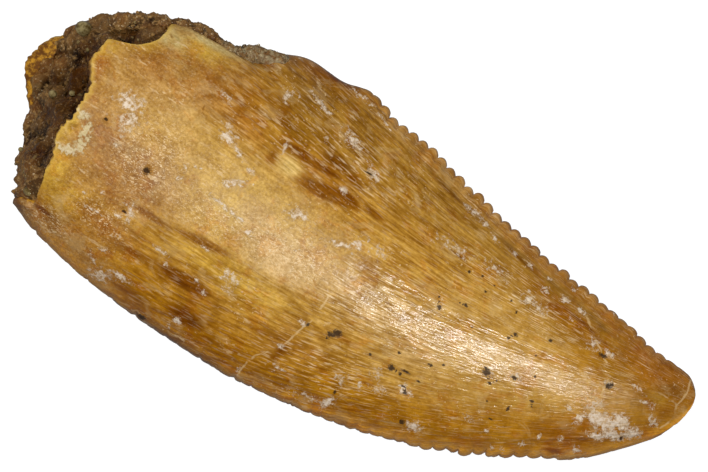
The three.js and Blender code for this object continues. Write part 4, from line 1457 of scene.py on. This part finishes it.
crown = make_crown()
fill = make_fill()
edge_crust = make_crust()
beads = make_beads(fill)
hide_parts("tooth_crown")
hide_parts("matrix_plug")
for piece in (crown, fill, edge_crust, beads):
    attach(piece, "root")


# The table, the light and the camera.
TABLE_SIZE = 1.2
TABLE_TONE = 0.16
TABLE_GLOW = 0.95
TABLE_MOTTLE = 0.02
WORLD_STRENGTH = 0.27


def lay_table():
    half = TABLE_SIZE / 2
    mesh = bpy.data.meshes.new("table")
    corners = [(-half, -half, 0), (half, -half, 0), (half, half, 0), (-half, half, 0)]
    mesh.from_pydata(corners, [], [(0, 1, 2, 3)])
    table = into_scene("table", mesh)
    material, tree, shader = new_finish("white_table", 0.9, 1.4)
    paper = noise(tree, own_place(tree), 0.02, 2.0)
    put(shader.inputs["Base Color"], blend(tree, paper, (TABLE_TONE,) * 3, (TABLE_TONE + TABLE_MOTTLE,) * 3))
    shader.inputs["Emission Color"].default_value = (1, 1, 1, 1)
    seen = tree.nodes.new("ShaderNodeLightPath").outputs["Is Camera Ray"]
    put(shader.inputs["Emission Strength"], times(tree, seen, TABLE_GLOW))
    mesh.materials.append(material)


def hang_panel(name, place_mm, size_mm, turn, watts, mirrored=True):
    """A light panel that faces straight down, turned by degrees about the vertical."""
    data = bpy.data.lights.new(name, "AREA")
    data.shape = "RECTANGLE"
    data.size, data.size_y = (side * MM for side in size_mm)
    data.energy = watts
    light = into_scene(name, data)
    light.visible_glossy = mirrored
    light.location = Vector(place_mm) * MM
    light.rotation_euler = (0, 0, np.radians(turn))


lay_table()
hang_panel("strip", place_mm=(111, -10, 250), size_mm=(104, 8), turn=51, watts=0.175)
hang_panel("fill", place_mm=(-120, 50, 230), size_mm=(200, 200), turn=0, watts=0.595, mirrored=False)

world = bpy.data.worlds.new("studio")
world.use_nodes = True
world.node_tree.nodes["Background"].inputs["Color"].default_value = (1, 1, 1, 1)
world.node_tree.nodes["Background"].inputs["Strength"].default_value = WORLD_STRENGTH
world.cycles_visibility.glossy = False
bpy.context.scene.world = world

CAMERA_LENS = 500
CAMERA_TURN = 29.3
CAMERA_CENTRE = (-0.0815, 0.6507)
CAMERA_HEIGHT = 264.5
CAMERA_SENSOR = 36
CAMERA_CLIP = 0.01

camera_data = bpy.data.cameras.new("camera")
camera_data.lens = CAMERA_LENS
camera_data.sensor_width = CAMERA_SENSOR
camera_data.clip_start = CAMERA_CLIP
camera = into_scene("camera", camera_data)
camera.location = (CAMERA_CENTRE[0] * MM, CAMERA_CENTRE[1] * MM, CAMERA_HEIGHT * MM)
camera.rotation_euler = (0, 0, np.radians(CAMERA_TURN))
bpy.context.scene.camera = camera
bpy.context.scene.view_settings.view_transform = "Standard"
